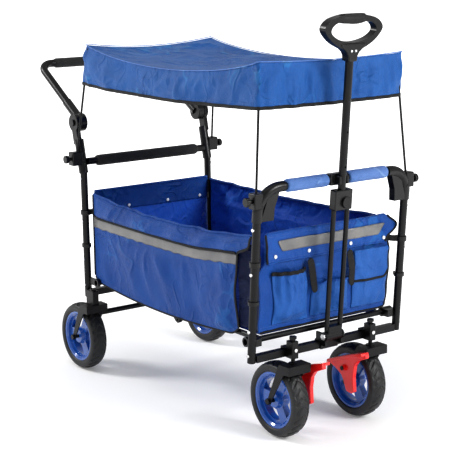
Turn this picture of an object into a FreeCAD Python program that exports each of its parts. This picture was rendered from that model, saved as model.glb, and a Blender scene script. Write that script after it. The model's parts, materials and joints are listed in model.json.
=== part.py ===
import math
import os

import FreeCAD
import Part
import Sketcher

# Folding pull wagon with a canopy.  Millimetres, +X forward (pull-handle end), +Y left, +Z up.
# The origin is on the floor, under the centre of the wagon's overall box.  Places below are
# counted from a datum: X from the middle of the wheelbase, Z from a level that the floor lies
# floor_height above.  spot() moves them to the origin.

V = FreeCAD.Vector
UP = V(0, 0, 1)
LEFT = V(0, 1, 0)
FORWARD = V(1, 0, 0)
SIDES = {"left": 1, "right": -1}

doc = FreeCAD.newDocument("pull_wagon")
sheet = doc.addObject("Spreadsheet::Sheet", "sizes")

DRIVING = {
    # frame
    "origin_shift": 91.3,
    "floor_height": 7.5,
    "post_reach": 394,
    "front_half_track": 233,
    "rear_half_track": 212,
    "post_outer": 20,
    "tube_wall": 1.5,
    "post_bottom": 222,
    "front_lean": 0.0722,
    "rear_lean": 0.0133,
    "elbow_outer": 25,
    "rail_outer": 20,
    "front_rail_reach": 430,
    "front_rail_height": 645,
    "rear_rail_height": 607,
    "foam_outer": 31,
    "cross_tube": 18,
    "lower_tube_height": 230,
    # folding base
    "pivot_height": 268,
    "rear_pivot": 350,
    "front_pivot": 372,
    "fold_height": 236,
    "base_tube": 15,
    "base_half_track": 190,
    "board_thickness": 5,
    # wheels
    "axle_height": 102.5,
    "wheel_radius": 95,
    "wheel_width": 48,
    "rim_radius": 71,
    "hub_radius": 19,
    "axle_outer": 10,
    "front_axle_reach": 365,
    "rear_axle_reach": 419,
    "front_wheel_track": 125,
    "rear_wheel_track": 217,
    "trail": 53,
    "fork_half_width": 31,
    "plate": 3,
    "leg_width": 17,
    # handles
    "pull_lean": 0.08,
    "pull_hinge_reach": 419,
    "pull_hinge_height": 254,
    "pull_tube": 12,
    "pull_tube_gap": 21,
    "pole_outer": 19.5,
    "push_tube": 22,
    "push_grip_outer": 28,
    "push_half_width": 196,
    "ratchet_reach": 430,
    "ratchet_height": 714,
    "ratchet_radius": 25,
    # canopy and basket
    "rod_outer": 6,
    "canopy_bottom": 823,
    "canopy_top": 935,
    "canopy_half_width": 228,
    "canopy_sag": 42,
    "cloth": 3,
    "basket_top": 522,
    "basket_half_width": 202,
}
for row, (alias, number) in enumerate(DRIVING.items(), start=1):
    sheet.set(f"A{row}", alias)
    sheet.set(f"B{row}", str(number))
    sheet.setAlias(f"B{row}", alias)
doc.recompute()

CLEAR = 0.3
nodes = []


def size(alias):
    """One number from the sheet."""
    return float(sheet.get(alias))


def spot(x, y, z):
    """A place counted from the datum, moved to the wagon's frame."""
    return V(x + size("origin_shift"), y, z - size("floor_height"))


def keep(obj, label):
    """Name a finished sub-part, which puts it on the list that is written out."""
    obj.Label = label
    nodes.append(obj)
    return obj


def solid(label, shape):
    """A sub-part whose shape is set by Part's own functions."""
    obj = doc.addObject("Part::Feature", label)
    obj.Shape = shape
    return keep(obj, label)


def new_sketch(body, role):
    """A sketch on one of the body's own origin planes."""
    sketch = body.newObject("Sketcher::SketchObject", body.Name + "_sketch")
    plane = next(f for f in body.Origin.OriginFeatures if f.Role == role)
    sketch.AttachmentSupport = [(plane, "")]
    sketch.MapMode = "FlatFace"
    return sketch


def add_circle(sketch, expression):
    """A circle about the sketch's origin, whose diameter follows the sheet."""
    line = sketch.addGeometry(Part.Circle(V(0, 0, 0), UP, 10), False)
    sketch.addConstraint(Sketcher.Constraint("Coincident", line, 3, -1, 1))
    sketch.addConstraint(Sketcher.Constraint("Diameter", line, 20))
    sketch.setExpression(f"Constraints[{sketch.ConstraintCount - 1}]", expression)


def add_outline(sketch, points):
    """A closed outline of straight lines through (x, y) points."""
    for a, b in zip(points, points[1:] + points[:1]):
        sketch.addGeometry(Part.LineSegment(V(*a, 0), V(*b, 0)), False)


def rod(label, start, end, outer, bore=""):
    """A straight round rod from start to end, with a bore where one is given."""
    body = doc.addObject("PartDesign::Body", label)
    sketch = new_sketch(body, "XY_Plane")
    add_circle(sketch, outer)
    if bore:
        add_circle(sketch, bore)
    pad = body.newObject("PartDesign::Pad", label + "_pad")
    pad.Profile = sketch
    pad.Length = (end - start).Length
    body.Placement = FreeCAD.Placement(start, FreeCAD.Rotation(UP, end - start))
    return body


def tube(label, start, end, alias):
    """A thin steel tube of one of the sheet's diameters."""
    return rod(label, start, end, f"sizes.{alias}", f"sizes.{alias} - 2 * sizes.tube_wall")


def sleeve(label, start, end, alias, core):
    """A thick sleeve that fits over a tube."""
    return rod(label, start, end, f"sizes.{alias}", f"sizes.{core} + {2 * CLEAR}")


def plate(label, role, outline, low, high):
    """A flat piece: an outline on an origin plane, padded from low to high along its normal."""
    body = doc.addObject("PartDesign::Body", label)
    sketch = new_sketch(body, role)
    add_outline(sketch, outline)
    pad = body.newObject("PartDesign::Pad", label + "_pad")
    pad.Profile = sketch
    pad.Length = high - low
    body.Placement = FreeCAD.Placement(sketch_normal(role) * low + spot(0, 0, 0), FreeCAD.Rotation())
    return body


def sketch_normal(role):
    """The direction in which a sketch on an origin plane is padded."""
    return {"XY_Plane": UP, "XZ_Plane": LEFT * -1, "YZ_Plane": FORWARD}[role]


def turned(label, outline, centre):
    """A ring or hub turned about an axle along Y; the outline holds (across, radius) points."""
    body = doc.addObject("PartDesign::Body", label)
    sketch = new_sketch(body, "YZ_Plane")
    add_outline(sketch, outline)
    turn = body.newObject("PartDesign::Revolution", label + "_turn")
    turn.Profile = sketch
    turn.ReferenceAxis = (sketch, ["H_Axis"])
    turn.Angle = 360
    body.Placement = FreeCAD.Placement(centre, FreeCAD.Rotation())
    return body


def group(label, members):
    """One node of several like pieces."""
    obj = doc.addObject("Part::Compound", label)
    obj.Links = members
    return keep(obj, label)


def box(low, high):
    """A block between two opposite corners."""
    across = high - low
    return Part.makeBox(across.x, across.y, across.z, low)


def pin(centre, axis, radius, length):
    """A cylinder centred on a point."""
    axis = V(axis).normalize()
    return Part.makeCylinder(radius, length, centre - axis * (length / 2), axis)


def bar(start, end, radius):
    """A cylinder from one point to another."""
    return Part.makeCylinder(radius, (end - start).Length, start, end - start)


def rounded(shape, radius, chosen=lambda edge: True):
    """The shape with the chosen edges rounded, or as it was where they can't be."""
    edges = [edge for edge in shape.Edges if chosen(edge)]
    try:
        result = shape.makeFillet(radius, edges)
    except Part.OCCError:
        return shape
    return result if result.isValid() and result.Volume > 0 else shape


def prism(points, normal_length):
    """A flat piece cut from a sheet: corner points in order, and its thickness as a vector."""
    face = Part.Face(Part.makePolygon(points + points[:1]))
    return face.extrude(normal_length)


def bent_path(points, bend):
    """A wire along straight runs joined by tangent arcs."""
    edges = []
    last = points[0]
    for before, corner, after in zip(points, points[1:], points[2:]):
        inward = (before - corner).normalize()
        outward = (after - corner).normalize()
        half = inward.getAngle(outward) / 2
        back = bend / math.tan(half)
        first, final = corner + inward * back, corner + outward * back
        middle_way = (inward + outward).normalize()
        centre = corner + middle_way * (bend / math.sin(half))
        edges.append(Part.LineSegment(last, first).toShape())
        edges.append(Part.Arc(first, centre - middle_way * bend, final).toShape())
        last = final
    edges.append(Part.LineSegment(last, points[-1]).toShape())
    return Part.Wire(edges)


def bent_tube(points, radius, bend):
    """A round bar that follows a bent path."""
    path = bent_path(points, bend)
    ring = Part.Wire(Part.Circle(points[0], points[1] - points[0], radius).toShape())
    return path.makePipeShell([ring], True, False)


def front_post_at(z):
    """How far forward the leaning front posts are at a height."""
    return size("post_reach") + size("front_lean") * (z - size("post_bottom"))


def rear_post_at(z):
    """How far back the leaning rear posts are at a height, as a negative number."""
    return -size("post_reach") - size("rear_lean") * (z - size("post_bottom"))


# ---------------------------------------------------------------- posts, rails and elbows

FRONT_POST_TOP = 566
REAR_POST_TOP = 585
WEB_LOW = 567
WEB_THICKNESS = 20
RAIL_INNER_END = 22
RAIL_OUTER_END = 159.5
FOAM_INNER_END = 31
FOAM_OUTER_END = 158
ELBOW_END = 162
ELBOW_BEND = 60
REAR_FOAM_END = 173


def make_posts():
    for end, track, post, top in (
        ("front", size("front_half_track"), front_post_at, FRONT_POST_TOP),
        ("rear", size("rear_half_track"), rear_post_at, REAR_POST_TOP),
    ):
        bottom = size("post_bottom")
        for side, s in SIDES.items():
            low, high = spot(post(bottom), s * track, bottom), spot(post(top), s * track, top)
            keep(tube(f"{end}_post_{side}", low, high, "post_outer"), f"{end}_post_{side}")


def elbow_shape(s, clearance=0):
    """The plastic elbow from a post to the front rail, with the web that fills its inner corner."""
    track, height, reach = size("front_half_track"), size("front_rail_height"), size("front_rail_reach")
    points = [
        spot(front_post_at(FRONT_POST_TOP), s * track, FRONT_POST_TOP + 0.5),
        spot(front_post_at(height) + 3, s * track, height),
        spot(reach, s * ELBOW_END, height),
    ]
    bend = bent_tube(points, size("elbow_outer") / 2 + clearance, ELBOW_BEND)
    back = WEB_THICKNESS / 2 + clearance
    outline = [(track - 4, WEB_LOW), (track - 42, WEB_LOW), (track - 44, WEB_LOW + 30)]
    outline += [(track - 60, height), (track - 30, height)]
    corners = [spot(front_post_at(z) - back, s * y, z - clearance) for y, z in outline]
    return bend.fuse(prism(corners, V(2 * back, 0, 0))).removeSplitter()


def make_elbows():
    solid("front_elbows", Part.makeCompound([elbow_shape(s) for s in SIDES.values()]))


def make_front_rail():
    height, reach = size("front_rail_height"), size("front_rail_reach")
    tubes, foams = [], []
    for side, s in SIDES.items():
        inner, outer = spot(reach, s * RAIL_INNER_END, height), spot(reach, s * RAIL_OUTER_END, height)
        tubes.append(tube(f"rail_tube_{side}", inner, outer, "rail_outer"))
        inner, outer = spot(reach, s * FOAM_INNER_END, height), spot(reach, s * FOAM_OUTER_END, height)
        foams.append(sleeve(f"rail_foam_{side}", inner, outer, "foam_outer", "rail_outer"))
    group("front_rail", tubes)
    group("front_rail_foam", foams)


def make_pole_clip():
    """The block that joins the two rail tubes, with two fingers that hold the pole."""
    height, reach = size("front_rail_height"), size("front_rail_reach")
    shape = rounded(box(spot(reach - 11, -27, height - 14), spot(reach + 11, 27, height + 14)), 3)
    for s in SIDES.values():
        sides = sorted((s * 8, s * 15))
        finger = box(spot(reach + 6, sides[0], height - 10), spot(reach + 29, sides[1], height + 10))
        shape = shape.fuse(rounded(finger, 2))
    for s in SIDES.values():
        socket = pin(spot(reach, s * (RAIL_INNER_END + 3), height), LEFT, size("rail_outer") / 2 + 0.1, 6.4)
        shape = shape.cut(socket)
    groove = pole_axis_cylinder(height - 30, height + 30, size("pole_outer") / 2 + 1)
    solid("pole_clip", shape.cut(groove).removeSplitter())


def make_rear_rail():
    height = size("rear_rail_height")
    reach = rear_post_at(height)
    end = size("rear_half_track") - size("elbow_outer") / 2 - 0.8
    keep(tube("rear_rail", spot(reach, -end, height), spot(reach, end, height), "rail_outer"), "rear_rail")
    low, high = spot(reach, -REAR_FOAM_END, height), spot(reach, REAR_FOAM_END, height)
    keep(sleeve("rear_rail_foam", low, high, "foam_outer", "rail_outer"), "rear_rail_foam")


def make_lower_tubes():
    half, height = size("cross_tube") / 2, size("lower_tube_height")
    for label, reach, track, drop in (
        ("front_lower_tube", size("post_reach"), size("front_half_track"), 0),
        ("rear_lower_tube", -size("post_reach"), size("rear_half_track"), 2),
    ):
        end = track - size("post_outer") / 2 - 0.5
        low, high = height - half + drop, height + half + drop
        square = [(reach - half, low), (reach + half, low), (reach + half, high), (reach - half, high)]
        body = plate(label, "XZ_Plane", square, -end, end)
        wall = size("plate") / 2
        hollow = [(reach - half + wall, low + wall), (reach + half - wall, low + wall)]
        hollow += [(reach + half - wall, high - wall), (reach - half + wall, high - wall)]
        sketch = new_sketch(body, "XZ_Plane")
        add_outline(sketch, hollow)
        pocket = body.newObject("PartDesign::Pocket", label + "_bore")
        pocket.Profile = sketch
        pocket.Type = "ThroughAll"
        pocket.Reversed = True
        keep(body, label)


# ---------------------------------------------------------------- wheels and forks

CROWN_BACK = 42
CROWN_FRONT = 79
CROWN_TOP = 206
CROWN_LOW = 184
STEM_OUTER = 10
STEM_HALF = 9.5
WINDOW_OUTER = math.radians(44)
WINDOW_INNER = WINDOW_OUTER - 0.25


def tyre_outline():
    """Half of the tyre's section, mirrored: (across, radius)."""
    half, outer, rim = size("wheel_width") / 2, size("wheel_radius"), size("rim_radius")
    right = [(half - 5, rim), (half - 1, rim + 4), (half, rim + 13), (half - 1.5, outer - 13)]
    right += [(half - 6, outer - 5.5), (half - 14, outer - 1.3), (0, outer)]
    left = [(-a, r) for a, r in reversed(right[:-1])]
    return right + left


def make_tyre(label, centre):
    keep(turned(label, tyre_outline(), centre), label)


def rim_outline():
    """The rim's section: barrel, lip on both edges, web and hub."""
    half, rim, hub = size("wheel_width") / 2 - 4, size("rim_radius") - CLEAR, size("hub_radius")
    bore = size("axle_outer") / 2 + CLEAR
    right = [(half, rim), (half, rim - 5), (half - 4, rim - 10), (9, rim - 12)]
    right += [(9, hub + 4), (half - 1, hub), (half - 1, bore)]
    left = [(-a, r) for a, r in reversed(right)]
    return right + left


def make_rim(label, centre):
    """A moulded rim whose web is cut away between three pairs of spokes."""
    body = turned(label, rim_outline(), centre)
    doc.recompute()
    inner, outer = size("hub_radius") + 7, size("rim_radius") - 17
    sketch = new_sketch(body, "XZ_Plane")
    low_in, low_out = polar(inner, -WINDOW_INNER), polar(outer, -WINDOW_OUTER)
    high_in, high_out = polar(inner, WINDOW_INNER), polar(outer, WINDOW_OUTER)
    sketch.addGeometry(Part.Arc(low_in, polar(inner, 0), high_in), False)
    sketch.addGeometry(Part.LineSegment(high_in, high_out), False)
    sketch.addGeometry(Part.Arc(high_out, polar(outer, 0), low_out), False)
    sketch.addGeometry(Part.LineSegment(low_out, low_in), False)
    window = body.newObject("PartDesign::Pocket", label + "_window")
    window.Profile = sketch
    window.Type = "ThroughAll"
    window.Midplane = True
    doc.recompute()
    pattern = body.newObject("PartDesign::PolarPattern", label + "_windows")
    pattern.Originals = [window]
    pattern.Axis = (sketch, ["N_Axis"])
    pattern.Angle = 360
    pattern.Occurrences = 3
    body.Tip = pattern
    keep(body, label)


def polar(radius, angle):
    return V(radius * math.cos(angle), radius * math.sin(angle), 0)


def fork_shape(axle, y):
    """A pressed fork: crown box ahead of the wheel, legs slanting back to the axle, axle and nuts."""
    half, plate_t, leg = size("fork_half_width"), size("plate"), size("leg_width")
    centre = spot(axle, y, 0)
    top = box(centre + V(CROWN_BACK, -half, CROWN_TOP - plate_t), centre + V(CROWN_FRONT, half, CROWN_TOP))
    nose_back = centre + V(CROWN_FRONT - plate_t, -half, CROWN_LOW)
    nose = box(nose_back, centre + V(CROWN_FRONT, half, CROWN_TOP))
    shape = top.fuse(nose)
    height = size("axle_height")
    for s in SIDES.values():
        outline = [
            centre + V(-leg / 2 + 1, 0, height - 4),
            centre + V(leg / 2 - 3, 0, height - leg / 2 + 1),
            centre + V(leg / 2 + 2, 0, height + 4),
            centre + V(CROWN_BACK + 14, 0, CROWN_LOW - 4),
            centre + V(CROWN_BACK + 20, 0, CROWN_LOW),
            centre + V(CROWN_FRONT, 0, CROWN_LOW),
            centre + V(CROWN_FRONT, 0, CROWN_TOP),
            centre + V(CROWN_BACK, 0, CROWN_TOP),
            centre + V(CROWN_BACK - 7, 0, CROWN_TOP - 11),
        ]
        face_y = s * half if s > 0 else s * half - plate_t
        shape = shape.fuse(prism([p + V(0, face_y, 0) for p in outline], V(0, plate_t, 0)))
    shape = shape.fuse(pin(centre + V(0, 0, height), LEFT, size("axle_outer") / 2, 2 * half + 14))
    for s in SIDES.values():
        nut = hexagon(centre + V(0, s * (half + plate_t + 2.4), height), LEFT, 8, 5)
        shape = shape.fuse(nut)
    return shape.removeSplitter()


def hexagon(centre, axis, radius, thickness):
    """A nut or bolt head centred on a point."""
    turn = FreeCAD.Rotation(UP, V(axis))
    corners = [turn.multVec(polar(radius, math.radians(60 * k))) + centre for k in range(6)]
    half = V(axis).normalize() * (thickness / 2)
    return prism([c - half for c in corners], half * 2)


def make_front_casters():
    for side, s in SIDES.items():
        y = s * size("front_wheel_track")
        axle = size("front_axle_reach")
        stem = spot(axle + size("trail"), y, 0)
        shape = fork_shape(axle, y)
        shape = shape.fuse(bar(stem + V(0, 0, CROWN_TOP - 1), stem + V(0, 0, 274), STEM_OUTER / 2))
        shape = shape.fuse(hexagon(stem + V(0, 0, 270), UP, 9, 7))
        shape = shape.fuse(brake_pin(s))
        washer = pin(stem + V(0, 0, CROWN_TOP + 0.8), UP, 11, 1.6)
        solid(f"caster_fork_{side}", shape.fuse(washer).removeSplitter())
        centre = spot(axle, y, size("axle_height"))
        make_rim(f"front_rim_{side}", centre)
        make_tyre(f"front_tyre_{side}", centre)
        make_brake(side, s)


def stem_housing(x, y):
    """A block ahead of the front lower tube, bored for the stem, with flanges that wrap the tube."""
    tube_x, half, height = size("post_reach"), size("cross_tube") / 2, size("lower_tube_height")
    face = tube_x + half + CLEAR
    block = rounded(box(spot(face, y - STEM_HALF, 218.6), spot(x + 10, y + STEM_HALF, 262)), 2)
    low = spot(tube_x - half - 3, y - STEM_HALF, height - 10.5)
    wrap = box(low, spot(face + 3, y + STEM_HALF, height + 13.5))
    low = spot(tube_x - half - CLEAR, y - 14, height - half - CLEAR)
    high = spot(tube_x + half + CLEAR, y + 14, height + half + CLEAR)
    bore = pin(spot(x, y, height), UP, STEM_OUTER / 2 + CLEAR, 100)
    return block.fuse(wrap).cut(box(low, high)).cut(bore).removeSplitter()


def make_stem_housings():
    x = size("front_axle_reach") + size("trail")
    blocks = [stem_housing(x, s * size("front_wheel_track")) for s in SIDES.values()]
    solid("stem_housings", Part.makeCompound(blocks))


def make_rear_forks():
    forks = []
    x = size("rear_axle_reach")
    for s in SIDES.values():
        y = s * size("rear_wheel_track")
        shape = fork_shape(-x, y)
        stem = -x + 62
        block = box(spot(-384 + CLEAR, y - STEM_HALF, CROWN_TOP - 0.5), spot(stem + 12, y + STEM_HALF, 246))
        shape = shape.fuse(rounded(block, 2))
        forks.append(shape.fuse(hexagon(spot(stem - 4, y, 248), UP, 9, 6)).removeSplitter())
    solid("rear_wheel_forks", Part.makeCompound(forks))
    for side, s in SIDES.items():
        centre = spot(-x, s * size("rear_wheel_track"), size("axle_height"))
        make_rim(f"rear_rim_{side}", centre)
        make_tyre(f"rear_tyre_{side}", centre)


def make_axle_bar():
    """The bar that ties the inner legs of the rear forks together."""
    inner = size("rear_wheel_track") - size("fork_half_width") - size("plate")
    x, z = -size("rear_axle_reach") + 34, 170
    body = tube("rear_axle_bar", spot(x, -inner + CLEAR, z), spot(x, inner - CLEAR, z), "base_tube")
    keep(body, "rear_axle_bar")


BRAKE_PIVOT = (24, 48)
BRAKE_THICKNESS = 12
BRAKE_GAP = 15.5
BOSS_OVER = 6


def brake_inner():
    """From the wheel's middle to the near face of its brake lever."""
    return size("fork_half_width") + size("plate") + BRAKE_GAP


def brake_pin(s):
    """The pin on the fork's inner leg that the brake lever turns on, with its head."""
    axle = spot(size("front_axle_reach"), s * size("front_wheel_track"), size("axle_height"))
    pivot = axle + V(BRAKE_PIVOT[0], 0, BRAKE_PIVOT[1])
    leg = size("fork_half_width") + 1
    end = brake_inner() + BRAKE_THICKNESS + BOSS_OVER + CLEAR
    shaft = bar(pivot - V(0, s * leg, 0), pivot - V(0, s * (end + 1), 0), 3)
    return shaft.fuse(pin(pivot - V(0, s * (end + 1.2), 0), LEFT, 5.5, 2.4))


def make_brake(side, s):
    """A foot rocker on the caster's inner side: a pedal bar that narrows down to its pad."""
    centre = spot(size("front_axle_reach"), s * size("front_wheel_track"), size("axle_height"))
    inner = brake_inner()
    outline = [(-32, 48), (-30, 59), (12, 74), (66, 93), (103, 103), (105, 90), (74, 76), (62, 60)]
    outline += [(57, 30), (60, -8), (50, -14), (32, -12), (27, -2), (22, 12), (12, 27), (-10, 40)]
    near, far = sorted((-s * inner, -s * (inner + BRAKE_THICKNESS)))
    web = rounded(prism([centre + V(x, near, z) for x, z in outline], V(0, far - near, 0)), 2.5)
    pedal_outline = [(-29, 50), (-27, 61), (12, 76), (66, 95), (102, 105), (103, 97), (66, 86), (12, 67)]
    near, far = sorted((-s * inner, -s * (inner + 26)))
    pedal = rounded(prism([centre + V(x, near, z) for x, z in pedal_outline], V(0, far - near, 0)), 2)
    start = size("fork_half_width") + size("plate") + 1
    length = inner + BRAKE_THICKNESS + BOSS_OVER - start
    pivot = centre + V(BRAKE_PIVOT[0], -s * (start + length / 2), BRAKE_PIVOT[1])
    shape = web.fuse(pedal).removeSplitter().fuse(pin(pivot, LEFT, 8, length))
    solid(f"brake_lever_{side}", shape.cut(pin(pivot, LEFT, 3.3, 80)).removeSplitter())


# ---------------------------------------------------------------- folding base

BOARD_HALF_WIDTH = 184


def base_rails(label, start, end, s_leaf, leaf_y):
    """Two side tubes of one base half, each with its leaf of the centre hinge."""
    height, radius, track = size("pivot_height"), size("base_tube") / 2, size("base_half_track")
    drop = size("fold_height")
    middle = size("front_pivot") / 2 - size("rear_pivot") / 2
    shapes = []
    for s in SIDES.values():
        y = s * track
        rail = bar(spot(start, y, height), spot(end, y, height), radius)
        leaf_side = [-s * leaf_y, -s * (leaf_y + size("plate"))]
        low_y = y + min(leaf_side)
        outline = [(0, -9), (9, -6), (46, 26), (44, 37), (3, 37), (-8, 4)]
        eye = [spot(middle + s_leaf * x, low_y, drop + z) for x, z in outline]
        leaf = prism(eye, V(0, size("plate"), 0))
        leaf = leaf.fuse(pin(spot(middle, low_y + size("plate") / 2, drop), LEFT, 9, size("plate")))
        leaf = leaf.cut(pin(spot(middle, low_y, drop), LEFT, 3.3, 20))
        if leaf_y > radius:
            weld = pin(spot(middle + s_leaf * 34, y - s * (radius + 1.5), height), LEFT, 4, 8)
            leaf = leaf.fuse(weld)
        shapes.append(rail.fuse(leaf).removeSplitter())
    solid(label, Part.makeCompound(shapes))


def make_base():
    height, radius, track = size("pivot_height"), size("base_tube") / 2, size("base_half_track")
    rear, front = -size("rear_pivot"), size("front_pivot")
    middle = (rear + front) / 2
    flush = radius - 0.5
    base_rails("base_rear_rails", rear + radius + 0.2, middle - 0.6, -1, flush)
    base_rails("base_front_rails", front - radius - 0.2, middle + 0.6, 1, flush + size("plate") + CLEAR)
    for label, pivot, near_middle in (
        ("base_rear_cross_tubes", rear, middle - 60),
        ("base_front_cross_tubes", front, middle + 60),
    ):
        ends = track + 29.5 if pivot > 0 else track + 20
        low, high = spot(pivot, -ends, height), spot(pivot, ends, height)
        long_tube = tube(label + "_pivot", low, high, "base_tube")
        short = track - radius - CLEAR
        low, high = spot(near_middle, -short, height), spot(near_middle, short, height)
        group(label, [long_tube, tube(label + "_inner", low, high, "base_tube")])
    top = height + radius + 0.2
    for label, low, high in (
        ("floor_board_rear", rear + 8, middle - 1),
        ("floor_board_front", middle + 1, front - 4),
    ):
        half = BOARD_HALF_WIDTH
        outline = [(low, -half), (high, -half), (high, half), (low, half)]
        body = plate(label, "XY_Plane", outline, top, top + size("board_thickness"))
        keep(body, label)


def make_knuckles_and_clips():
    """Plastic pivots for the base, and the strap clips on the posts: one node at each end."""
    height = size("pivot_height")
    for label, pivot, track, post in (
        ("front_brackets", size("front_pivot"), size("front_half_track"), front_post_at),
        ("rear_brackets", -size("rear_pivot"), size("rear_half_track"), rear_post_at),
    ):
        pieces = []
        for s in SIDES.values():
            y = s * track
            wide = sorted((s * (size("basket_half_width") + 1.6), s * (track + 1)))
            post_bar = bar(spot(post(200), y, 200), spot(post(560), y, 560), size("post_outer") / 2 + 0.1)
            hub = pin(spot(pivot, (wide[0] + wide[1]) / 2, height), LEFT, 12, wide[1] - wide[0])
            near, far = sorted((pivot, post(height)))
            arm = box(spot(near, wide[0], height - 9), spot(far, wide[1], height + 9))
            bore = pin(spot(pivot, 0, height), LEFT, size("base_tube") / 2 + CLEAR, 2 * track + 60)
            pieces.append(hub.fuse(arm).cut(post_bar).cut(bore).removeSplitter())
            for z, depth in ((464, 12), (370, 9)):
                ring = pin(spot(post(z), y, z), UP, size("post_outer") / 2 + 3.5, depth)
                near, far = sorted((post(z), post(z) - math.copysign(18, pivot)))
                ear = box(spot(near, y - 4, z - depth / 2), spot(far, y + 4, z + depth / 2))
                pieces.append(ring.fuse(ear).cut(post_bar).removeSplitter())
        solids = [piece for shape in pieces for piece in shape.Solids]
        solid(label, Part.makeCompound(solids))


# ---------------------------------------------------------------- pull handle

PULL_TUBE_TOP = 608
LOCK_TOP = 630
POLE_TOP = 939
GRIP_TOP = 1036
GRIP_DEPTH = 22


def pull_at(z, y=0):
    """A point on the pull handle's leaning centre line."""
    x = size("pull_hinge_reach") + size("pull_lean") * (z - size("pull_hinge_height"))
    return spot(x, y, z)


def pole_axis_cylinder(low, high, radius):
    return bar(pull_at(low), pull_at(high), radius)


def make_handle_bracket():
    """The clevis on the front lower tube that the pull handle turns in."""
    x, z = size("pull_hinge_reach"), size("pull_hinge_height")
    tube, half = size("post_reach"), size("cross_tube") / 2
    shape = box(spot(tube - half - 3, -28, 219), spot(tube + half + 4, 28, 242.5))
    shape = rounded(shape, 2)
    for s in SIDES.values():
        low, high = (23, 28) if s > 0 else (-28, -23)
        ear = box(spot(tube - 6, low, 230), spot(x + 4, high, z + 8))
        ear = ear.fuse(pin(spot(x, (low + high) / 2, z), LEFT, 12, 5))
        shape = shape.fuse(ear)
    reach, height = half + CLEAR, size("lower_tube_height")
    hole = box(spot(tube - reach, -40, height - reach), spot(tube + reach, 40, height + reach))
    shape = shape.cut(hole).cut(pin(spot(x, 0, z), LEFT, 4.3, 80))
    slot = box(spot(x - 14, -22.9, z - 14), spot(x + 30, 22.9, z + 40))
    shape = shape.cut(slot)
    solid("handle_bracket", shape.removeSplitter())


def make_pull_tubes():
    """Twin tubes from the hinge lug to the lock block."""
    x, z = size("pull_hinge_reach"), size("pull_hinge_height")
    shape = pin(spot(x, 0, z), LEFT, 11, 44).fuse(prism_along_pull(z, z + 26, 22, 9))
    for s in SIDES.values():
        y = s * size("pull_tube_gap")
        shape = shape.fuse(bar(pull_at(z + 18, y), pull_at(PULL_TUBE_TOP - 36, y), size("pull_tube") / 2))
    clearance = pole_axis_cylinder(z + 27, PULL_TUBE_TOP, size("pole_outer") / 2 + 0.5)
    shape = shape.cut(clearance).cut(pin(spot(x, 0, z), LEFT, 4.3, 80))
    solid("pull_tubes", shape.removeSplitter())


def prism_along_pull(low, high, half_width, half_depth):
    """A block that leans with the pull handle."""
    slab = Part.makeBox(2 * half_depth, 2 * half_width, high - low, V(-half_depth, -half_width, 0))
    slab = rounded(slab, 3)
    lean = pull_at(high) - pull_at(low)
    slab.Placement = FreeCAD.Placement(pull_at(low), FreeCAD.Rotation(UP, lean))
    return slab


def make_lock_block():
    """The clamp at the top of the twin tubes, with the pole's guide and a round lock cover."""
    low = PULL_TUBE_TOP - 36
    shape = prism_along_pull(low + 0.2, LOCK_TOP - 8, 27, 11.5)
    dial = pull_at(low + 18, 6)
    cover = pin(dial + V(14, 0, 0), FORWARD, 14, 8)
    shape = shape.fuse(rounded(cover, 1.5))
    bore = pole_axis_cylinder(low - 20, LOCK_TOP + 20, size("pole_outer") / 2 + CLEAR)
    solid("pull_lock_block", shape.cut(bore).removeSplitter())


def make_pole():
    """The telescoping pole, with its row of stop holes."""
    shape = pole_axis_cylinder(PULL_TUBE_TOP - 30, POLE_TOP, size("pole_outer") / 2)
    shape = shape.cut(pole_axis_cylinder(PULL_TUBE_TOP - 40, POLE_TOP - 20, size("pole_outer") / 2 - 1.5))
    for z in (676, 760):
        shape = shape.cut(pin(pull_at(z), FORWARD, 2.5, 60))
    solid("pull_pole", shape)


def mirrored_loop(half):
    """A smooth closed loop through points on its right half, bottom to top, and their mirror images."""
    edges = []
    for mirror in (1, -1):
        curve = Part.BSplineCurve()
        points = [V(0, mirror * y, z) for y, z in half]
        curve.interpolate(points, InitialTangent=V(0, mirror, 0), FinalTangent=V(0, -mirror, 0))
        edges.append(curve.toShape())
    return Part.Wire(edges)


def make_d_grip():
    """A moulded D: a round-edged ring with a thicker top bar, on a neck that flares from the pole."""
    lift = V(-GRIP_DEPTH / 2, 0, 0)
    outer_half = [(0, 12), (40, 22), (62, 34), (80, 50), (88, 65)]
    outer_half += [(80, 79), (60, 89.5), (32, 95.5), (0, 97)]
    hole_half = [(0, 33), (32, 37), (56, 46), (69, 60), (60, 74), (36, 80), (0, 75)]
    outer = Part.Face(mirrored_loop(outer_half)).extrude(V(GRIP_DEPTH, 0, 0))
    hole = Part.Face(mirrored_loop(hole_half)).extrude(V(GRIP_DEPTH, 0, 0))
    ring = rounded(outer.cut(hole), 7)
    neck_points = [V(0, 13.5, -12), V(0, 14, 0), V(0, 19, 9), V(0, 38, 24), V(0, 38, 31)]
    neck_points += [V(0, -p.y, p.z) for p in reversed(neck_points)]
    neck = rounded(prism(neck_points, V(GRIP_DEPTH + 5, 0, 0)), 4)
    neck.translate(V(-2.5, 0, 0))
    shape = ring.fuse(neck)
    shape.translate(lift)
    shape = shape.cut(Part.makeCylinder(size("pole_outer") / 2 + 0.05, 14, V(0, 0, -13)))
    lean = pull_at(GRIP_TOP) - pull_at(POLE_TOP)
    shape.Placement = FreeCAD.Placement(pull_at(POLE_TOP), FreeCAD.Rotation(UP, lean))
    solid("d_grip", shape.removeSplitter())


# ---------------------------------------------------------------- push handle

PUSH_CORNER = (661, 861)
SLEEVE_END = 92
FIXED_DISC = (210, 223.5)
MOVING_DISC = (190, 209.4)


def ratchet(y=0):
    return spot(-size("ratchet_reach"), y, size("ratchet_height"))


def push_direction():
    reach, height = PUSH_CORNER
    return V(-(reach - size("ratchet_reach")), 0, height - size("ratchet_height")).normalize()


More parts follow.
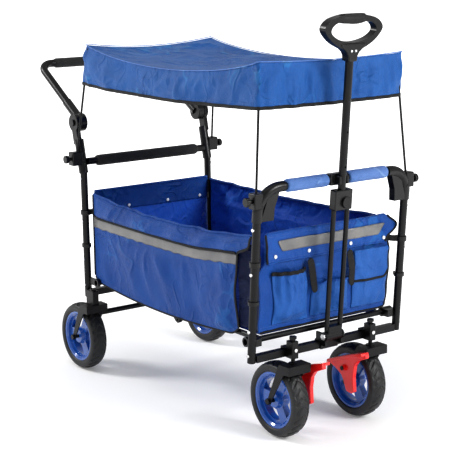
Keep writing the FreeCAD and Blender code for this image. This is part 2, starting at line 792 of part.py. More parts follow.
def make_push_handle():
    way = push_direction()
    half = size("push_half_width")
    start = way * (SLEEVE_END + 0.2)
    corner = spot(-PUSH_CORNER[0], 0, PUSH_CORNER[1])
    points = [ratchet(half) + start, corner + V(0, half, 0)]
    points += [corner + V(0, -half, 0), ratchet(-half) + start]
    solid("push_bar", bent_tube(points, size("push_tube") / 2, 40))
    low, high = corner + V(0, -150, 0), corner + V(0, 150, 0)
    keep(sleeve("push_grip", low, high, "push_grip_outer", "push_tube"), "push_grip")
    arms = []
    for s in SIDES.values():
        inner, outer = MOVING_DISC
        disc = pin(ratchet(s * (inner + outer) / 2), LEFT, size("ratchet_radius"), outer - inner)
        arm = bar(ratchet(s * half), ratchet(s * half) + way * SLEEVE_END, 13.2)
        arms.append(rounded(disc, 2).fuse(arm).removeSplitter())
    solid("push_arm_sleeves", Part.makeCompound(arms))


def make_ratchet_sleeves():
    """The fixed halves of the ratchets, on plastic sleeves above the rear posts."""
    sleeves = []
    for side, s in SIDES.items():
        y = s * size("rear_half_track")
        foot = spot(rear_post_at(REAR_POST_TOP), y, REAR_POST_TOP - 10)
        rise = (ratchet(y) - foot).normalize()
        length = (ratchet(y) - foot).Length
        socket = bar(foot, foot + rise * (length - 47), 13)
        inner, outer = FIXED_DISC
        disc = pin(ratchet(s * (inner + outer) / 2), LEFT, size("ratchet_radius"), outer - inner)
        cross = rise.cross(LEFT).normalize() * 12
        low_y = min(s * inner, s * outer)
        root = foot + rise * (length - 60)
        corners = [root + cross, ratchet() + cross, ratchet() - cross, root - cross]
        neck = prism([V(c.x, low_y, c.z) for c in corners], V(0, outer - inner, 0))
        top = spot(rear_post_at(REAR_POST_TOP), y, REAR_POST_TOP)
        post = bar(spot(rear_post_at(500), y, 500), top, size("post_outer") / 2 + 0.05)
        shape = socket.fuse(neck).fuse(rounded(disc, 2)).cut(post)
        shape = shape.cut(pin(ratchet(s * (outer - 4)), LEFT, 9.4, 8.2))
        sleeves.append(shape.removeSplitter())
        button = rounded(pin(ratchet(s * (outer + 1)), LEFT, 9, 7), 1)
        solid(f"ratchet_button_{side}", button)
    solid("ratchet_sleeves", Part.makeCompound(sleeves))


# ---------------------------------------------------------------- canopy

FRONT_ROD = ((421, 236, 626), (406, 212, 924))
REAR_ROD = ((-405, 232.5, 606), (-353, 212, 924))
KNOB_HEIGHT = 617


def make_rods():
    for label, (low, high) in (("canopy_rods_front", FRONT_ROD), ("canopy_rods_rear", REAR_ROD)):
        rods = []
        for side, s in SIDES.items():
            start, end = spot(low[0], s * low[1], low[2]), spot(high[0], s * high[1], high[2])
            rods.append(rod(f"{label}_{side}", start, end, "sizes.rod_outer"))
        group(label, rods)


def make_clamps():
    """The clamps that hold the rods beside the post tops, and their thumb knobs."""
    front_root, rear_root = size("front_half_track") - 8, size("rear_half_track") + 4
    for end, (low, high), x, root, face in (
        ("front", FRONT_ROD, 423, front_root, 251),
        ("rear", REAR_ROD, -407, rear_root, 248),
    ):
        clamps = []
        for side, s in SIDES.items():
            inner, outer = sorted((s * root, s * face))
            block = box(spot(x - 13, inner, 598), spot(x + 13, outer, 636))
            block = rounded(block, 3)
            core = elbow_shape(s, 0.1) if end == "front" else rear_sleeve_clearance(s)
            start, stop = spot(low[0], s * low[1], low[2]), spot(high[0], s * high[1], high[2])
            block = block.cut(core).cut(bar(start, stop, size("rod_outer") / 2 + 0.15))
            largest = max(block.Solids, key=lambda piece: piece.Volume)
            clamps.append(largest)
            make_knob(f"canopy_knob_{end}_{side}", spot(x, s * (face + CLEAR), KNOB_HEIGHT), s)
        solid(f"canopy_clamps_{end}", Part.makeCompound(clamps))


def rear_sleeve_clearance(s):
    y = s * size("rear_half_track")
    foot = spot(rear_post_at(REAR_POST_TOP), y, REAR_POST_TOP - 10)
    return bar(foot, ratchet(y), 13.2)


def make_knob(label, foot, s):
    """A thumb knob pointing outward: a short neck and a head with finger lobes."""
    neck = pin(foot + V(0, s * 4, 0), LEFT, 5, 8)
    head = pin(foot + V(0, s * 13, 0), LEFT, 11, 10)
    head = rounded(head, 1.5)
    for k in range(8):
        angle = math.radians(45 * k)
        lobe = V(12.2 * math.cos(angle), s * 13, 12.2 * math.sin(angle))
        head = head.cut(pin(foot + lobe, LEFT, 2.4, 20))
    solid(label, neck.fuse(head).removeSplitter())


def make_canopy():
    """A cap of cloth: sagging roof and four hanging sides, open below."""
    rear, front = -378, 419
    low, top, sag, cloth = size("canopy_bottom"), size("canopy_top"), size("canopy_sag"), size("cloth")
    half = size("canopy_half_width")

    def cap(inset, half_width, bottom):
        ends = spot(rear + 14 + inset, 0, top - inset), spot(front - 4 - inset, 0, top - inset)
        middle = (ends[0] + ends[1]) / 2 - V(0, 0, sag)
        feet = spot(rear + inset, 0, bottom), spot(front - inset, 0, bottom)
        edges = [
            Part.Arc(ends[0], middle, ends[1]).toShape(),
            Part.LineSegment(ends[1], feet[1]).toShape(),
            Part.LineSegment(feet[1], feet[0]).toShape(),
            Part.LineSegment(feet[0], ends[0]).toShape(),
        ]
        face = Part.Face(Part.Wire(edges))
        face.translate(V(0, -half_width, 0))
        return face.extrude(V(0, 2 * half_width, 0))

    solid("canopy_cover", cap(0, half, low).cut(cap(cloth, half - cloth, low - 1)))


# ---------------------------------------------------------------- basket

PANEL_HALF = 198.5
FRONT_PANEL_REACH = 385.5
REAR_PANEL_REACH = -379
SIDE_ENDS = (-372, 352)
SIDE_WING = 396


def make_basket():
    """End panels that stay flat, and side walls that crumple as the wagon folds."""
    half, top, cloth = size("basket_half_width"), size("basket_top"), size("cloth")
    for label, reach, bottom in (
        ("basket_front_panel", FRONT_PANEL_REACH, 292),
        ("basket_rear_panel", REAR_PANEL_REACH, 284),
    ):
        outline = [(-PANEL_HALF, bottom), (PANEL_HALF, bottom), (PANEL_HALF, top), (-PANEL_HALF, top)]
        keep(plate(label, "YZ_Plane", outline, reach, reach + 2 * cloth), label)
    rear, front = SIDE_ENDS
    outline = [(rear, 284), (front, 284), (front, 476), (SIDE_WING, 500), (SIDE_WING, top), (rear, top)]
    sides = []
    for side, s in SIDES.items():
        low = -s * half if s > 0 else half - cloth
        sides.append(plate(f"basket_side_{side}", "XZ_Plane", outline, low, low + cloth))
    group("basket_sides", sides)


# ---------------------------------------------------------------- fasteners


def make_fasteners():
    """Visible rivets and screw heads, one node at each end of the frame."""
    block_front = size("front_axle_reach") + size("trail") + 10 + 1.2
    front = []
    for s in SIDES.values():
        track = s * (size("front_half_track") + size("post_outer") / 2 + 1.2)
        for z in (240, 300, 440, 548):
            front.append(pin(spot(front_post_at(z), track, z), LEFT, 4, 2.4))
        y = s * size("front_wheel_track")
        front.append(pin(spot(block_front, y, 240), FORWARD, 4.5, 2.4))
    for s in SIDES.values():
        hinge = spot(size("pull_hinge_reach"), s * 30.6, size("pull_hinge_height"))
        front.append(hexagon(hinge, LEFT, 8, 5))
    solid("front_fasteners", Part.makeCompound(front))
    rear = []
    for s in SIDES.values():
        track = s * (size("rear_half_track") + size("post_outer") / 2 + 1.2)
        for z in (256, 330, 440, 560):
            rear.append(pin(spot(rear_post_at(z), track, z), LEFT, 4, 2.4))
    solid("rear_fasteners", Part.makeCompound(rear))


def check_and_write():
    """Stop on anything failed, then write one file for each sub-part."""
    doc.recompute()
    for obj in doc.Objects:
        if {"Invalid", "Error"} & set(obj.State):
            raise RuntimeError(f"{obj.Label} failed: {obj.State}")
    os.makedirs("parts", exist_ok=True)
    for obj in nodes:
        if obj.Shape.isNull() or not obj.Shape.isValid():
            raise RuntimeError(f"{obj.Label} has no valid shape")
        obj.Shape.exportStep(f"parts/{obj.Label}.step")
    whole = Part.makeCompound([obj.Shape for obj in nodes]).BoundBox
    lowest, highest = (whole.XMin, whole.YMin, whole.ZMin), (whole.XMax, whole.YMax, whole.ZMax)
    print(len(nodes), "sub-parts from", [round(c, 1) for c in lowest], "to", [round(c, 1) for c in highest])


make_posts()
make_elbows()
make_front_rail()
make_pole_clip()
make_rear_rail()
make_lower_tubes()
make_front_casters()
make_stem_housings()
make_rear_forks()
make_axle_bar()
make_base()
make_knuckles_and_clips()
make_handle_bracket()
make_pull_tubes()
make_lock_block()
make_pole()
make_d_grip()
make_push_handle()
make_ratchet_sleeves()
make_rods()
make_clamps()
make_canopy()
make_basket()
make_fasteners()
check_and_write()
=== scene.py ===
"""The looks of a folding fabric pull wagon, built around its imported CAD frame.

Lengths are in metres. The numbers below are counted from the CAD's own datum: x from the middle
of the wheelbase, y to the wagon's left, and z from a level that lies DROP below the floor.
"""

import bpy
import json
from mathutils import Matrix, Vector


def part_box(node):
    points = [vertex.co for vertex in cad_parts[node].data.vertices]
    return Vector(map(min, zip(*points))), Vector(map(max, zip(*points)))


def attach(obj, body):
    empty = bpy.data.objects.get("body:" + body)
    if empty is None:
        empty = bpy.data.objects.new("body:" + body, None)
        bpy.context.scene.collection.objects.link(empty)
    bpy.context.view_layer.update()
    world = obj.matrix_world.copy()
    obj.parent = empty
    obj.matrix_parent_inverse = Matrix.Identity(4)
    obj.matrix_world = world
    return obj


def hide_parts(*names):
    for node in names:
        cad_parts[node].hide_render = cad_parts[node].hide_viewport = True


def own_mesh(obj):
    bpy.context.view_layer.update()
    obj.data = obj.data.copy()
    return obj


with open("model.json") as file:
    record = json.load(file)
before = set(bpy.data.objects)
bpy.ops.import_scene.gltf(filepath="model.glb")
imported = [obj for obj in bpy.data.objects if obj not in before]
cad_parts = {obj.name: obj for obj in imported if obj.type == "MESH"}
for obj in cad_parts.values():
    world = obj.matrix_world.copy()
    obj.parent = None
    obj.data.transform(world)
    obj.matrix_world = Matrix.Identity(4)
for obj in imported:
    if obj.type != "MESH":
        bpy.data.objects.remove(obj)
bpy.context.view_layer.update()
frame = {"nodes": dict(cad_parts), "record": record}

import json
import math

import bpy
from mathutils import Matrix, Vector, noise

AHEAD, DROP = 0.0913, 0.0075  # the datum, ahead of the row frame's origin and below it
CLOTH = 0.0016  # thickness of the coated fabric

CANOPY_REAR, CANOPY_FRONT, CANOPY_HALF = -0.377, 0.418, 0.2275
CANOPY_TOP, CANOPY_BOTTOM = 0.935, 0.8285

BASKET_REAR, BASKET_FRONT, BASKET_HALF = -0.372, 0.302, 0.2005
FRONT_PANEL, REAR_PANEL = 0.3875, -0.3765
FRONT_HALF, REAR_HALF = 0.2035, 0.1955
RIM_TOP, FRONT_FOOT, REAR_FOOT = 0.525, 0.286, 0.279
SIDES = {"left": 1, "right": -1}
SIDE_SAG = {1: 0.006, -1: 0.021}  # how far the left and the right rim dip
STITCH_PITCH, STITCH_RADIUS = 0.0045, 0.00045
STITCH_LIFT = 0.0004  # how far stitches stand off their cloth
CAP_RADIUS = 0.0048

WHEEL_RADIUS, BEAD_RADIUS, AXLE_HEIGHT = 0.095, 0.0705, 0.1025
WHEELS = {
    "front_left": (0.365, 0.125),
    "front_right": (0.365, -0.125),
    "rear_left": (-0.419, 0.217),
    "rear_right": (-0.419, -0.217),
}


# ---------------------------------------------------------------- meshes


def added(name, data):
    """A new object in the scene."""
    obj = bpy.data.objects.new(name, data)
    bpy.context.scene.collection.objects.link(obj)
    return obj


def mesh_object(name, points, faces, finishes, smooth=True):
    """An object whose points are counted from the datum."""
    mesh = bpy.data.meshes.new(name)
    mesh.from_pydata([(x + AHEAD, y, z - DROP) for x, y, z in points], [], faces)
    mesh.validate()
    for finish in finishes:
        mesh.materials.append(finish)
    for face in mesh.polygons:
        face.use_smooth = smooth
    return added(name, mesh)


def settle(obj):
    """Turns the object's modifiers into mesh."""
    graph = bpy.context.evaluated_depsgraph_get()
    mesh = bpy.data.meshes.new_from_object(obj.evaluated_get(graph))
    obj.modifiers.clear()
    obj.data = mesh
    return obj


def smoothed(obj, thickness=None):
    """Subdivides a surface, and gives it a thickness below its outer side."""
    obj.modifiers.new("smooth", "SUBSURF").levels = 1
    if thickness:
        shell = obj.modifiers.new("shell", "SOLIDIFY")
        shell.thickness = thickness
        shell.offset = -1
        shell.material_offset = 1
    return settle(obj)


def row_faces(rows, columns, closed=False):
    """Quads between rows of points; closed joins each row's end to its start."""
    faces = []
    across = columns if closed else columns - 1
    for i in range(rows - 1):
        for j in range(across):
            k = (j + 1) % columns
            faces.append((i * columns + j, i * columns + k, (i + 1) * columns + k, (i + 1) * columns + j))
    return faces


def tube_faces(rings, sides):
    """Quads round a tube of rings, and a face over each of its ends."""
    last = (rings - 1) * sides
    return row_faces(rings, sides, True) + [tuple(range(sides))[::-1], tuple(range(last, last + sides))]


def loop_faces(rings, sides):
    """Quads round a ring-shaped tube, whose last ring meets its first."""
    return [tuple(k % (rings * sides) for k in face) for face in row_faces(rings + 1, sides, True)]


def sheet_grid(name, place, across, along, finishes, outward, thickness=CLOTH):
    """A cloth through place(u, v), u and v from 0 to 1, with its outer side facing outward."""
    points = [place(i / along, j / across) for i in range(along + 1) for j in range(across + 1)]
    faces = row_faces(along + 1, across + 1)
    first = [Vector(points[k]) for k in faces[len(faces) // 2]]
    normal = (first[1] - first[0]).cross(first[3] - first[0])
    if normal.dot(Vector(outward)) < 0:
        faces = [face[::-1] for face in faces]
    return smoothed(mesh_object(name, points, faces, finishes), thickness)


def disc(radius, sides):
    """A round section for swept()."""
    turns = [math.tau * k / sides for k in range(sides)]
    return [(radius * math.cos(a), radius * math.sin(a)) for a in turns]


def flat(width, height, corner=0.3):
    """A strip's section for swept(), with corners cut by that share of its thinner side."""
    a, b = width / 2, height / 2
    c = min(a, b) * corner * 2
    upper = [(a, b - c), (a - c, b), (c - a, b), (-a, b - c)]
    return upper + [(-x, -y) for x, y in upper]


def swept(name, path, section, finish, up=(0, 0, 1), closed=False, grow=None):
    """The section, (across, upward), carried along the path. grow(t) scales it along the way."""
    path = [Vector(p) for p in path]
    count, up = len(path), Vector(up)
    points = []
    for k, here in enumerate(path):
        behind = path[k - 1] if k or closed else here
        ahead = path[(k + 1) % count] if k < count - 1 or closed else here
        along = (ahead - behind).normalized()
        across = along.cross(up).normalized()
        rise = across.cross(along)
        scale = grow(k / (count - 1)) if grow else 1
        points += [tuple(here + across * a * scale + rise * b * scale) for a, b in section]
    find_faces = loop_faces if closed else tube_faces
    return mesh_object(name, points, find_faces(count, len(section)), [finish])


def edging(name, path, section, finish, **how):
    """A strip or cord with a smooth surface along a path."""
    return smoothed(swept(name, path, section, finish, **how))


def turned(name, profile, centre, axis, finish, steps):
    """A profile of (radius, along) turned about an axis through centre."""
    turn = Vector((0, 0, 1)).rotation_difference(Vector(axis)).to_matrix()
    points = []
    for radius, along in profile:
        for k in range(steps):
            angle = math.tau * k / steps
            spot = turn @ Vector((radius * math.cos(angle), radius * math.sin(angle), along))
            points.append(tuple(Vector(centre) + spot))
    return mesh_object(name, points, tube_faces(len(profile), steps), [finish])


def joined(name, pieces):
    """Several pieces as one object."""
    points, faces, finishes, marks = [], [], [], []
    for piece in pieces:
        start = len(points)
        points += [(v.co.x - AHEAD, v.co.y, v.co.z + DROP) for v in piece.data.vertices]
        for face in piece.data.polygons:
            finish = piece.data.materials[face.material_index]
            if finish not in finishes:
                finishes.append(finish)
            faces.append(tuple(k + start for k in face.vertices))
            marks.append(finishes.index(finish))
        bpy.data.objects.remove(piece)
    whole = mesh_object(name, points, faces, finishes)
    for face, mark in zip(whole.data.polygons, marks):
        face.material_index = mark
    return whole


def spaced(path, pitch):
    """(point, direction) at equal steps along a path."""
    found, left = [], 0.0
    for start, end in zip(path, path[1:]):
        start, end = Vector(start), Vector(end)
        length = (end - start).length
        if length == 0:
            continue
        along = (end - start) / length
        while left < length:
            found.append((start + along * left, along))
            left += pitch
        left -= length
    return found


def stitches(name, rows):
    """Short stitches along each row of points."""
    points, faces = [], []
    for middle, along in (place for row in rows for place in spaced(row, STITCH_PITCH)):
        side = along.orthogonal().normalized()
        ring = [side, along.cross(side), -side, -along.cross(side)]
        base = len(points)
        points += [tuple(middle + along * STITCH_PITCH * end) for end in (0.34, -0.34)]
        points += [tuple(middle + spoke * STITCH_RADIUS) for spoke in ring]
        for k in range(4):
            this, following = base + 2 + k, base + 2 + (k + 1) % 4
            faces += [(base, this, following), (base + 1, following, this)]
    return mesh_object(name, points, faces, [THREAD])


def ripple(x, y, z, scale, seed=0):
    """Smooth noise from about -1 to 1."""
    return noise.noise(Vector((x * scale + seed * 7.3, y * scale - seed * 3.1, z * scale + seed)))


def crease(x, y, z, scale, seed=0):
    """Sharp broken ridges on calm ground, from 0 to 1, as in cloth that was folded and pulled flat."""
    ground = noise.noise(Vector((x * scale + seed * 5.1, y * scale + seed, z * scale - seed * 2.7)))
    gaps = noise.noise(Vector((x * scale * 0.8 - seed, y * scale + seed * 3.3, z * scale * 2 + seed)))
    return (1 - min(1, abs(ground) * 5)) ** 1.5 * ramp(gaps, -0.1, 0.25)


def clamped(value):
    """The value, or 0 below 0 and 1 above 1."""
    return min(1, max(0, value))


def ramp(value, start, end):
    """0 before start, 1 after end, and smooth between them."""
    share = clamped((value - start) / (end - start))
    return share * share * (3 - 2 * share)


def arch(share):
    """1 in the middle of the way from 0 to 1, and 0 at both its ends."""
    return math.sin(math.pi * share)


def shares(count):
    """The numbers from 0 to 1 in that many equal steps."""
    return [k / count for k in range(count + 1)]


# ---------------------------------------------------------------- materials


def new_finish(name, colour, roughness, **sockets):
    """A plain material; further shader sockets are named with _ for each space."""
    made = bpy.data.materials.new(name)
    made.use_nodes = True
    shader = made.node_tree.nodes["Principled BSDF"]
    shader.inputs["Base Color"].default_value = (*colour, 1)
    shader.inputs["Roughness"].default_value = roughness
    for socket, value in sockets.items():
        shader.inputs[socket.replace("_", " ")].default_value = value
    return made


def feed(made, value, socket):
    """Sets a socket to a number, or links another node's output to it."""
    if isinstance(value, (int, float)):
        socket.default_value = value
    else:
        made.node_tree.links.new(value, socket)


def texture(made, kind, scale, **settings):
    """A texture in the object's own coordinates. Returns its grey output."""
    nodes = made.node_tree.nodes
    place = nodes.new("ShaderNodeTexCoord")
    pattern = nodes.new("ShaderNodeTex" + kind)
    pattern.inputs["Scale"].default_value = scale
    for name, value in settings.items():
        if name in pattern.inputs:
            pattern.inputs[name].default_value = value
        else:
            setattr(pattern, name, value)
    feed(made, place.outputs["Object"], pattern.inputs["Vector"])
    return pattern.outputs["Distance" if kind == "Voronoi" else "Fac"]


def calculate(made, operation, first, second=0):
    """One step of arithmetic on numbers or sockets."""
    step = made.node_tree.nodes.new("ShaderNodeMath")
    step.operation = operation
    feed(made, first, step.inputs[0])
    feed(made, second, step.inputs[1])
    return step.outputs[0]


def shades(made, source, dark, light, start=0.3, end=0.7):
    """A colour from dark to light as the source goes from start to end."""
    band = made.node_tree.nodes.new("ShaderNodeValToRGB")
    for element, colour, place in zip(band.color_ramp.elements, (dark, light), (start, end)):
        element.position = place
        element.color = (*colour, 1)
    feed(made, source, band.inputs["Fac"])
    return band.outputs["Color"]


def multiplied(made, first, second):
    """The product of two colours."""
    mixer = made.node_tree.nodes.new("ShaderNodeMix")
    mixer.data_type = "RGBA"
    mixer.blend_type = "MULTIPLY"
    mixer.inputs["Factor"].default_value = 1
    feed(made, first, mixer.inputs["A"])
    feed(made, second, mixer.inputs["B"])
    return mixer.outputs["Result"]


def spread(made, source, low, high, start=0, end=1):
    """A number from low to high as the source goes from start to end."""
    scaled = made.node_tree.nodes.new("ShaderNodeMapRange")
    for name, value in (("From Min", start), ("From Max", end), ("To Min", low), ("To Max", high)):
        scaled.inputs[name].default_value = value
    feed(made, source, scaled.inputs["Value"])
    return scaled.outputs["Result"]


def set_colour(made, source):
    feed(made, source, made.node_tree.nodes["Principled BSDF"].inputs["Base Color"])


def set_roughness(made, source, low, high):
    shader = made.node_tree.nodes["Principled BSDF"]
    feed(made, spread(made, source, low, high), shader.inputs["Roughness"])


def set_bump(made, source, distance, edge=0.0):
    """Relief of that depth in metres, over edges rounded by that radius."""
    nodes = made.node_tree.nodes
    relief = nodes.new("ShaderNodeBump")
    relief.inputs["Distance"].default_value = distance
    relief.inputs["Strength"].default_value = 1
    feed(made, source, relief.inputs["Height"])
    if edge:
        rounded = nodes.new("ShaderNodeBevel")
        rounded.samples = 4
        rounded.inputs["Radius"].default_value = edge
        feed(made, rounded.outputs["Normal"], relief.inputs["Normal"])
    feed(made, relief.outputs["Normal"], nodes["Principled BSDF"].inputs["Normal"])


def weave(made, period):
    """Threads crossing on every face: the bands of the three axes added together."""
    scale = math.tau / 20 / period
    bands = [texture(made, "Wave", scale, bands_direction=axis, Distortion=0.6) for axis in "XYZ"]
    return calculate(made, "ADD", calculate(made, "ADD", bands[0], bands[1]), bands[2])


def fold_lines(made, scale):
    """Sharp folds here and there in the cloth: 1 along a fold, falling to 0 beside it."""
    middle = calculate(made, "SUBTRACT", texture(made, "Noise", scale, Detail=1.5, Distortion=0.9), 0.5)
    away = calculate(made, "MULTIPLY", calculate(made, "ABSOLUTE", middle), 11)
    beside = calculate(made, "MINIMUM", away, 1)
    places = calculate(made, "SUBTRACT", texture(made, "Noise", scale * 0.6, Detail=1), 0.45)
    share = calculate(made, "MINIMUM", calculate(made, "MULTIPLY", places, 8), 1)
    worn = calculate(made, "MAXIMUM", share, 0)
    return calculate(made, "MULTIPLY", calculate(made, "SUBTRACT", 1, beside), worn)


def fabric(name, dark, light, period=0.0011, sheen=0.06, relief=0.00012):
    """Coated woven cloth: threads, a slow random change of tone, small creases, and folds with painted
    highlights along them.
    """
    made = new_finish(name, light, 0.5, Sheen_Weight=sheen, Sheen_Roughness=0.4, Specular_IOR_Level=0.22)
    shade = shades(made, texture(made, "Noise", 7, Detail=5, Roughness=0.6), dark, light, 0.32, 0.68)
    threads = weave(made, period)
    thread_shade = shades(made, threads, (0.86,) * 3, (1.08,) * 3, 0.6, 2.2)
    plain = multiplied(made, shade, thread_shade)
    large, small = fold_lines(made, 8), fold_lines(made, 15)
    folds = calculate(made, "ADD", large, calculate(made, "MULTIPLY", small, 0.5))
    # Painted highlight: the colour turns paler along the folds, where light would catch their ridges.
    painted_fold_highlight = shades(made, folds, (1.0,) * 3, (1.7, 1.5, 1.2), 0.80, 0.98)
    set_colour(made, multiplied(made, plain, painted_fold_highlight))
    set_roughness(made, texture(made, "Noise", 35, Detail=3), 0.38, 0.58)
    creases = calculate(made, "MULTIPLY", texture(made, "Noise", 38, Detail=4, Distortion=1.2), 14.0)
    height = calculate(made, "ADD", creases, calculate(made, "MULTIPLY", folds, 38.0))
    set_bump(made, calculate(made, "ADD", threads, height), relief)
    return made


def webbing(name, dark, light):
    """Narrow woven tape with clear ribs."""
    made = new_finish(name, light, 0.65, Specular_IOR_Level=0.3)
    ribs = weave(made, 0.0016)
    set_colour(made, shades(made, ribs, dark, light, 0.8, 2.2))
    set_bump(made, ribs, 0.00025)
    return made


def reflective(name):
    """Bead-coated tape, grey-beige in plain light."""
    made = new_finish(name, (0.2, 0.2, 0.21), 0.4, Metallic=0.2)
    beads = texture(made, "Voronoi", 900)
    tone = shades(made, texture(made, "Noise", 22, Detail=4), (0.11, 0.11, 0.115), (0.17, 0.165, 0.16))
    grain = shades(made, beads, (0.85,) * 3, (1.1,) * 3, 0.1, 0.6)
    set_colour(made, multiplied(made, tone, grain))
    set_roughness(made, beads, 0.28, 0.5)
    set_bump(made, beads, 0.0001)
    return made


def plastic(name, colour, roughness, grain=0.00004, coat=0.0, edge=0.0012):
    """Moulded plastic: fine grain, uneven gloss, and rounded edges."""
    made = new_finish(name, colour, roughness, Coat_Weight=coat, Coat_Roughness=0.1, Specular_IOR_Level=0.3)
    wear = texture(made, "Noise", 28, Detail=6, Roughness=0.7)
    darker = tuple(c * 0.92 for c in colour)
    lighter = tuple(min(1, c * 1.07 + 0.003) for c in colour)
    set_colour(made, shades(made, wear, darker, lighter, 0.35, 0.7))
    set_roughness(made, texture(made, "Noise", 90, Detail=3), roughness * 0.8, roughness * 1.25)
    set_bump(made, texture(made, "Noise", 700, Detail=2), grain, edge)
    return made


def powder_coat(name):
    """Satin black paint on steel tube, with its orange-peel surface and faint dust."""
    made = new_finish(name, (0.004, 0.004, 0.005), 0.3, Specular_IOR_Level=0.25)
    dust = texture(made, "Noise", 16, Detail=6, Roughness=0.65)
    set_colour(made, shades(made, dust, (0.003, 0.003, 0.004), (0.008, 0.008, 0.009), 0.4, 0.75))
    set_roughness(made, dust, 0.26, 0.44)
    set_bump(made, texture(made, "Noise", 450, Detail=2), 0.00004, 0.001)
    return made


def zinc(name):
    """Plated steel with fine scratches."""
    made = new_finish(name, (0.62, 0.62, 0.63), 0.3, Metallic=1.0)
    tone = texture(made, "Noise", 60, Detail=5)
    set_colour(made, shades(made, tone, (0.5, 0.5, 0.51), (0.78, 0.78, 0.78)))
    set_roughness(made, tone, 0.2, 0.42)
    set_bump(made, texture(made, "Wave", 160, Distortion=8.0, Detail=3), 0.00003, 0.0006)
    return made


def rubber(name, colour):
    """Rubber with a dull shine and a little road dust."""
    made = new_finish(name, colour, 0.5)
    dust = texture(made, "Noise", 24, Detail=6, Roughness=0.7)
    dusty = tuple(c * 1.9 + 0.006 for c in colour)
    set_colour(made, shades(made, dust, colour, dusty, 0.45, 0.8))
    set_roughness(made, dust, 0.38, 0.62)
    set_bump(made, texture(made, "Noise", 380, Detail=3), 0.00008)
    return made


def foam(name):
    """Closed-cell black foam: small round cells, soft and dull."""
    made = new_finish(name, (0.008, 0.008, 0.009), 0.85, Sheen_Weight=0.05)
    cells = texture(made, "Voronoi", 620)
    tone = shades(made, texture(made, "Noise", 30, Detail=4), (0.006,) * 3, (0.014,) * 3)
    set_colour(made, multiplied(made, tone, shades(made, cells, (0.8,) * 3, (1.2,) * 3)))
    set_bump(made, cells, 0.0003)
    return made


def thread(name, colour):
    made = new_finish(name, colour, 0.6, Sheen_Weight=0.3)
    set_colour(made, shades(made, texture(made, "Noise", 300), tuple(c * 0.8 for c in colour), colour))
    set_bump(made, texture(made, "Wave", 500, Distortion=2.0), 0.0001)
    return made


def studio_floor(name):
    """White paper that glows more further out, so that it runs into the white background."""
    made = new_finish(name, (0.95, 0.95, 0.95), 0.9, Specular_IOR_Level=0.1)
    tone = texture(made, "Noise", 3, Detail=3)
    set_colour(made, shades(made, tone, (0.945, 0.945, 0.945), (0.96, 0.96, 0.96)))
    nodes = made.node_tree.nodes
    place, reach = nodes.new("ShaderNodeTexCoord"), nodes.new("ShaderNodeVectorMath")
    reach.operation = "LENGTH"
    feed(made, place.outputs["Object"], reach.inputs[0])
    glow = spread(made, reach.outputs["Value"], 0.12, 0.9, start=0.7, end=2.2)
    shader = nodes["Principled BSDF"]
    shader.inputs["Emission Color"].default_value = (1, 1, 1, 1)
    feed(made, glow, shader.inputs["Emission Strength"])
    return made


BLUE = fabric("blue_cloth", (0.004, 0.042, 0.200), (0.008, 0.064, 0.270))
POCKET = fabric("pocket_cloth", (0.010, 0.070, 0.265), (0.018, 0.096, 0.330))
# Painted light: the inner faces of the basket and canopy cloth take a brighter copy of the blue cloth,
# lifting the shade inside them.
LIT_INSIDE_CLOTH = fabric("inside_cloth_painted_light", (0.014, 0.085, 0.42), (0.022, 0.112, 0.52))
CANOPY = fabric("canopy_cloth", (0.007, 0.062, 0.225), (0.014, 0.092, 0.30))
SLEEVE = fabric("sleeve_cloth", (0.065, 0.14, 0.34), (0.10, 0.18, 0.41), period=0.0009)
# Painted shade: a much darker copy of the blue cloth, for the shadowed corner between each side and the
# front panel.
GUSSET_PAINTED_SHADE = fabric("gusset_cloth_painted_shade", (0.002, 0.006, 0.035), (0.003, 0.009, 0.05))
# Painted highlight: the piping cord is a paler blue than the canopy, standing for the light line along the
# roof's edge and its side seams.
PIPING_PAINTED_HIGHLIGHT = fabric("piping_cloth_painted_highlight", (0.07, 0.16, 0.42), (0.10, 0.20, 0.50), period=0.0008)
BINDING = webbing("black_binding", (0.003, 0.003, 0.0035), (0.008, 0.008, 0.009))
STRAP = webbing("black_webbing", (0.003, 0.003, 0.0035), (0.010, 0.010, 0.011))
TAPE = reflective("reflective_tape")
THREAD = thread("blue_thread", (0.045, 0.12, 0.40))
SNAP = plastic("snap_white", (0.75, 0.76, 0.78), 0.3, coat=0.3)
BLACK = plastic("black_plastic", (0.004, 0.004, 0.0045), 0.3)
SOFT = plastic("soft_grip", (0.005, 0.005, 0.0055), 0.55, grain=0.0001)
BLUE_RIM = plastic("rim_plastic", (0.014, 0.085, 0.36), 0.18, grain=0.00001, coat=0.8)
RED = plastic("red_plastic", (0.72, 0.014, 0.014), 0.22, grain=0.00001, coat=0.5)
PAINT = powder_coat("black_powder_coat")
STEEL = zinc("zinc_plate")
TYRE = rubber("tyre_rubber", (0.008, 0.0085, 0.0095))
FOAM = foam("black_foam")
BOARD = fabric("board_cloth", (0.004, 0.030, 0.19), (0.007, 0.04, 0.24))


def dress_cad_nodes():
    """Gives every CAD node the finish of its material slot."""
    by_slot = {
        "frame": PAINT,
        "plastic": BLACK,
        "rim": BLUE_RIM,
        "tyre": TYRE,
        "brake": RED,
        "fabric": BLUE,
        "foam_cover": SLEEVE,
        "foam": FOAM,
        "board": BOARD,
        "bolt": STEEL,
    }
    for row in frame["record"]["subparts"]:
        obj = frame["nodes"][row["node"]]
        obj.data.materials.clear()
        obj.data.materials.append(by_slot[row["material_slot"]])


# ---------------------------------------------------------------- how pieces move


def folds_with_canopy(*pieces):
    """Cloth that hangs between the two halves' rods; each piece rides the rear frame with its own mesh."""
    for piece in pieces:
        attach(piece, "rear_frame")
        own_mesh(piece)


def folds_with_basket(*pieces):
    """Cloth between the basket's two ends; each piece rides the rear frame with its own mesh."""
    for piece in pieces:
        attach(piece, "rear_frame")
        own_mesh(piece)


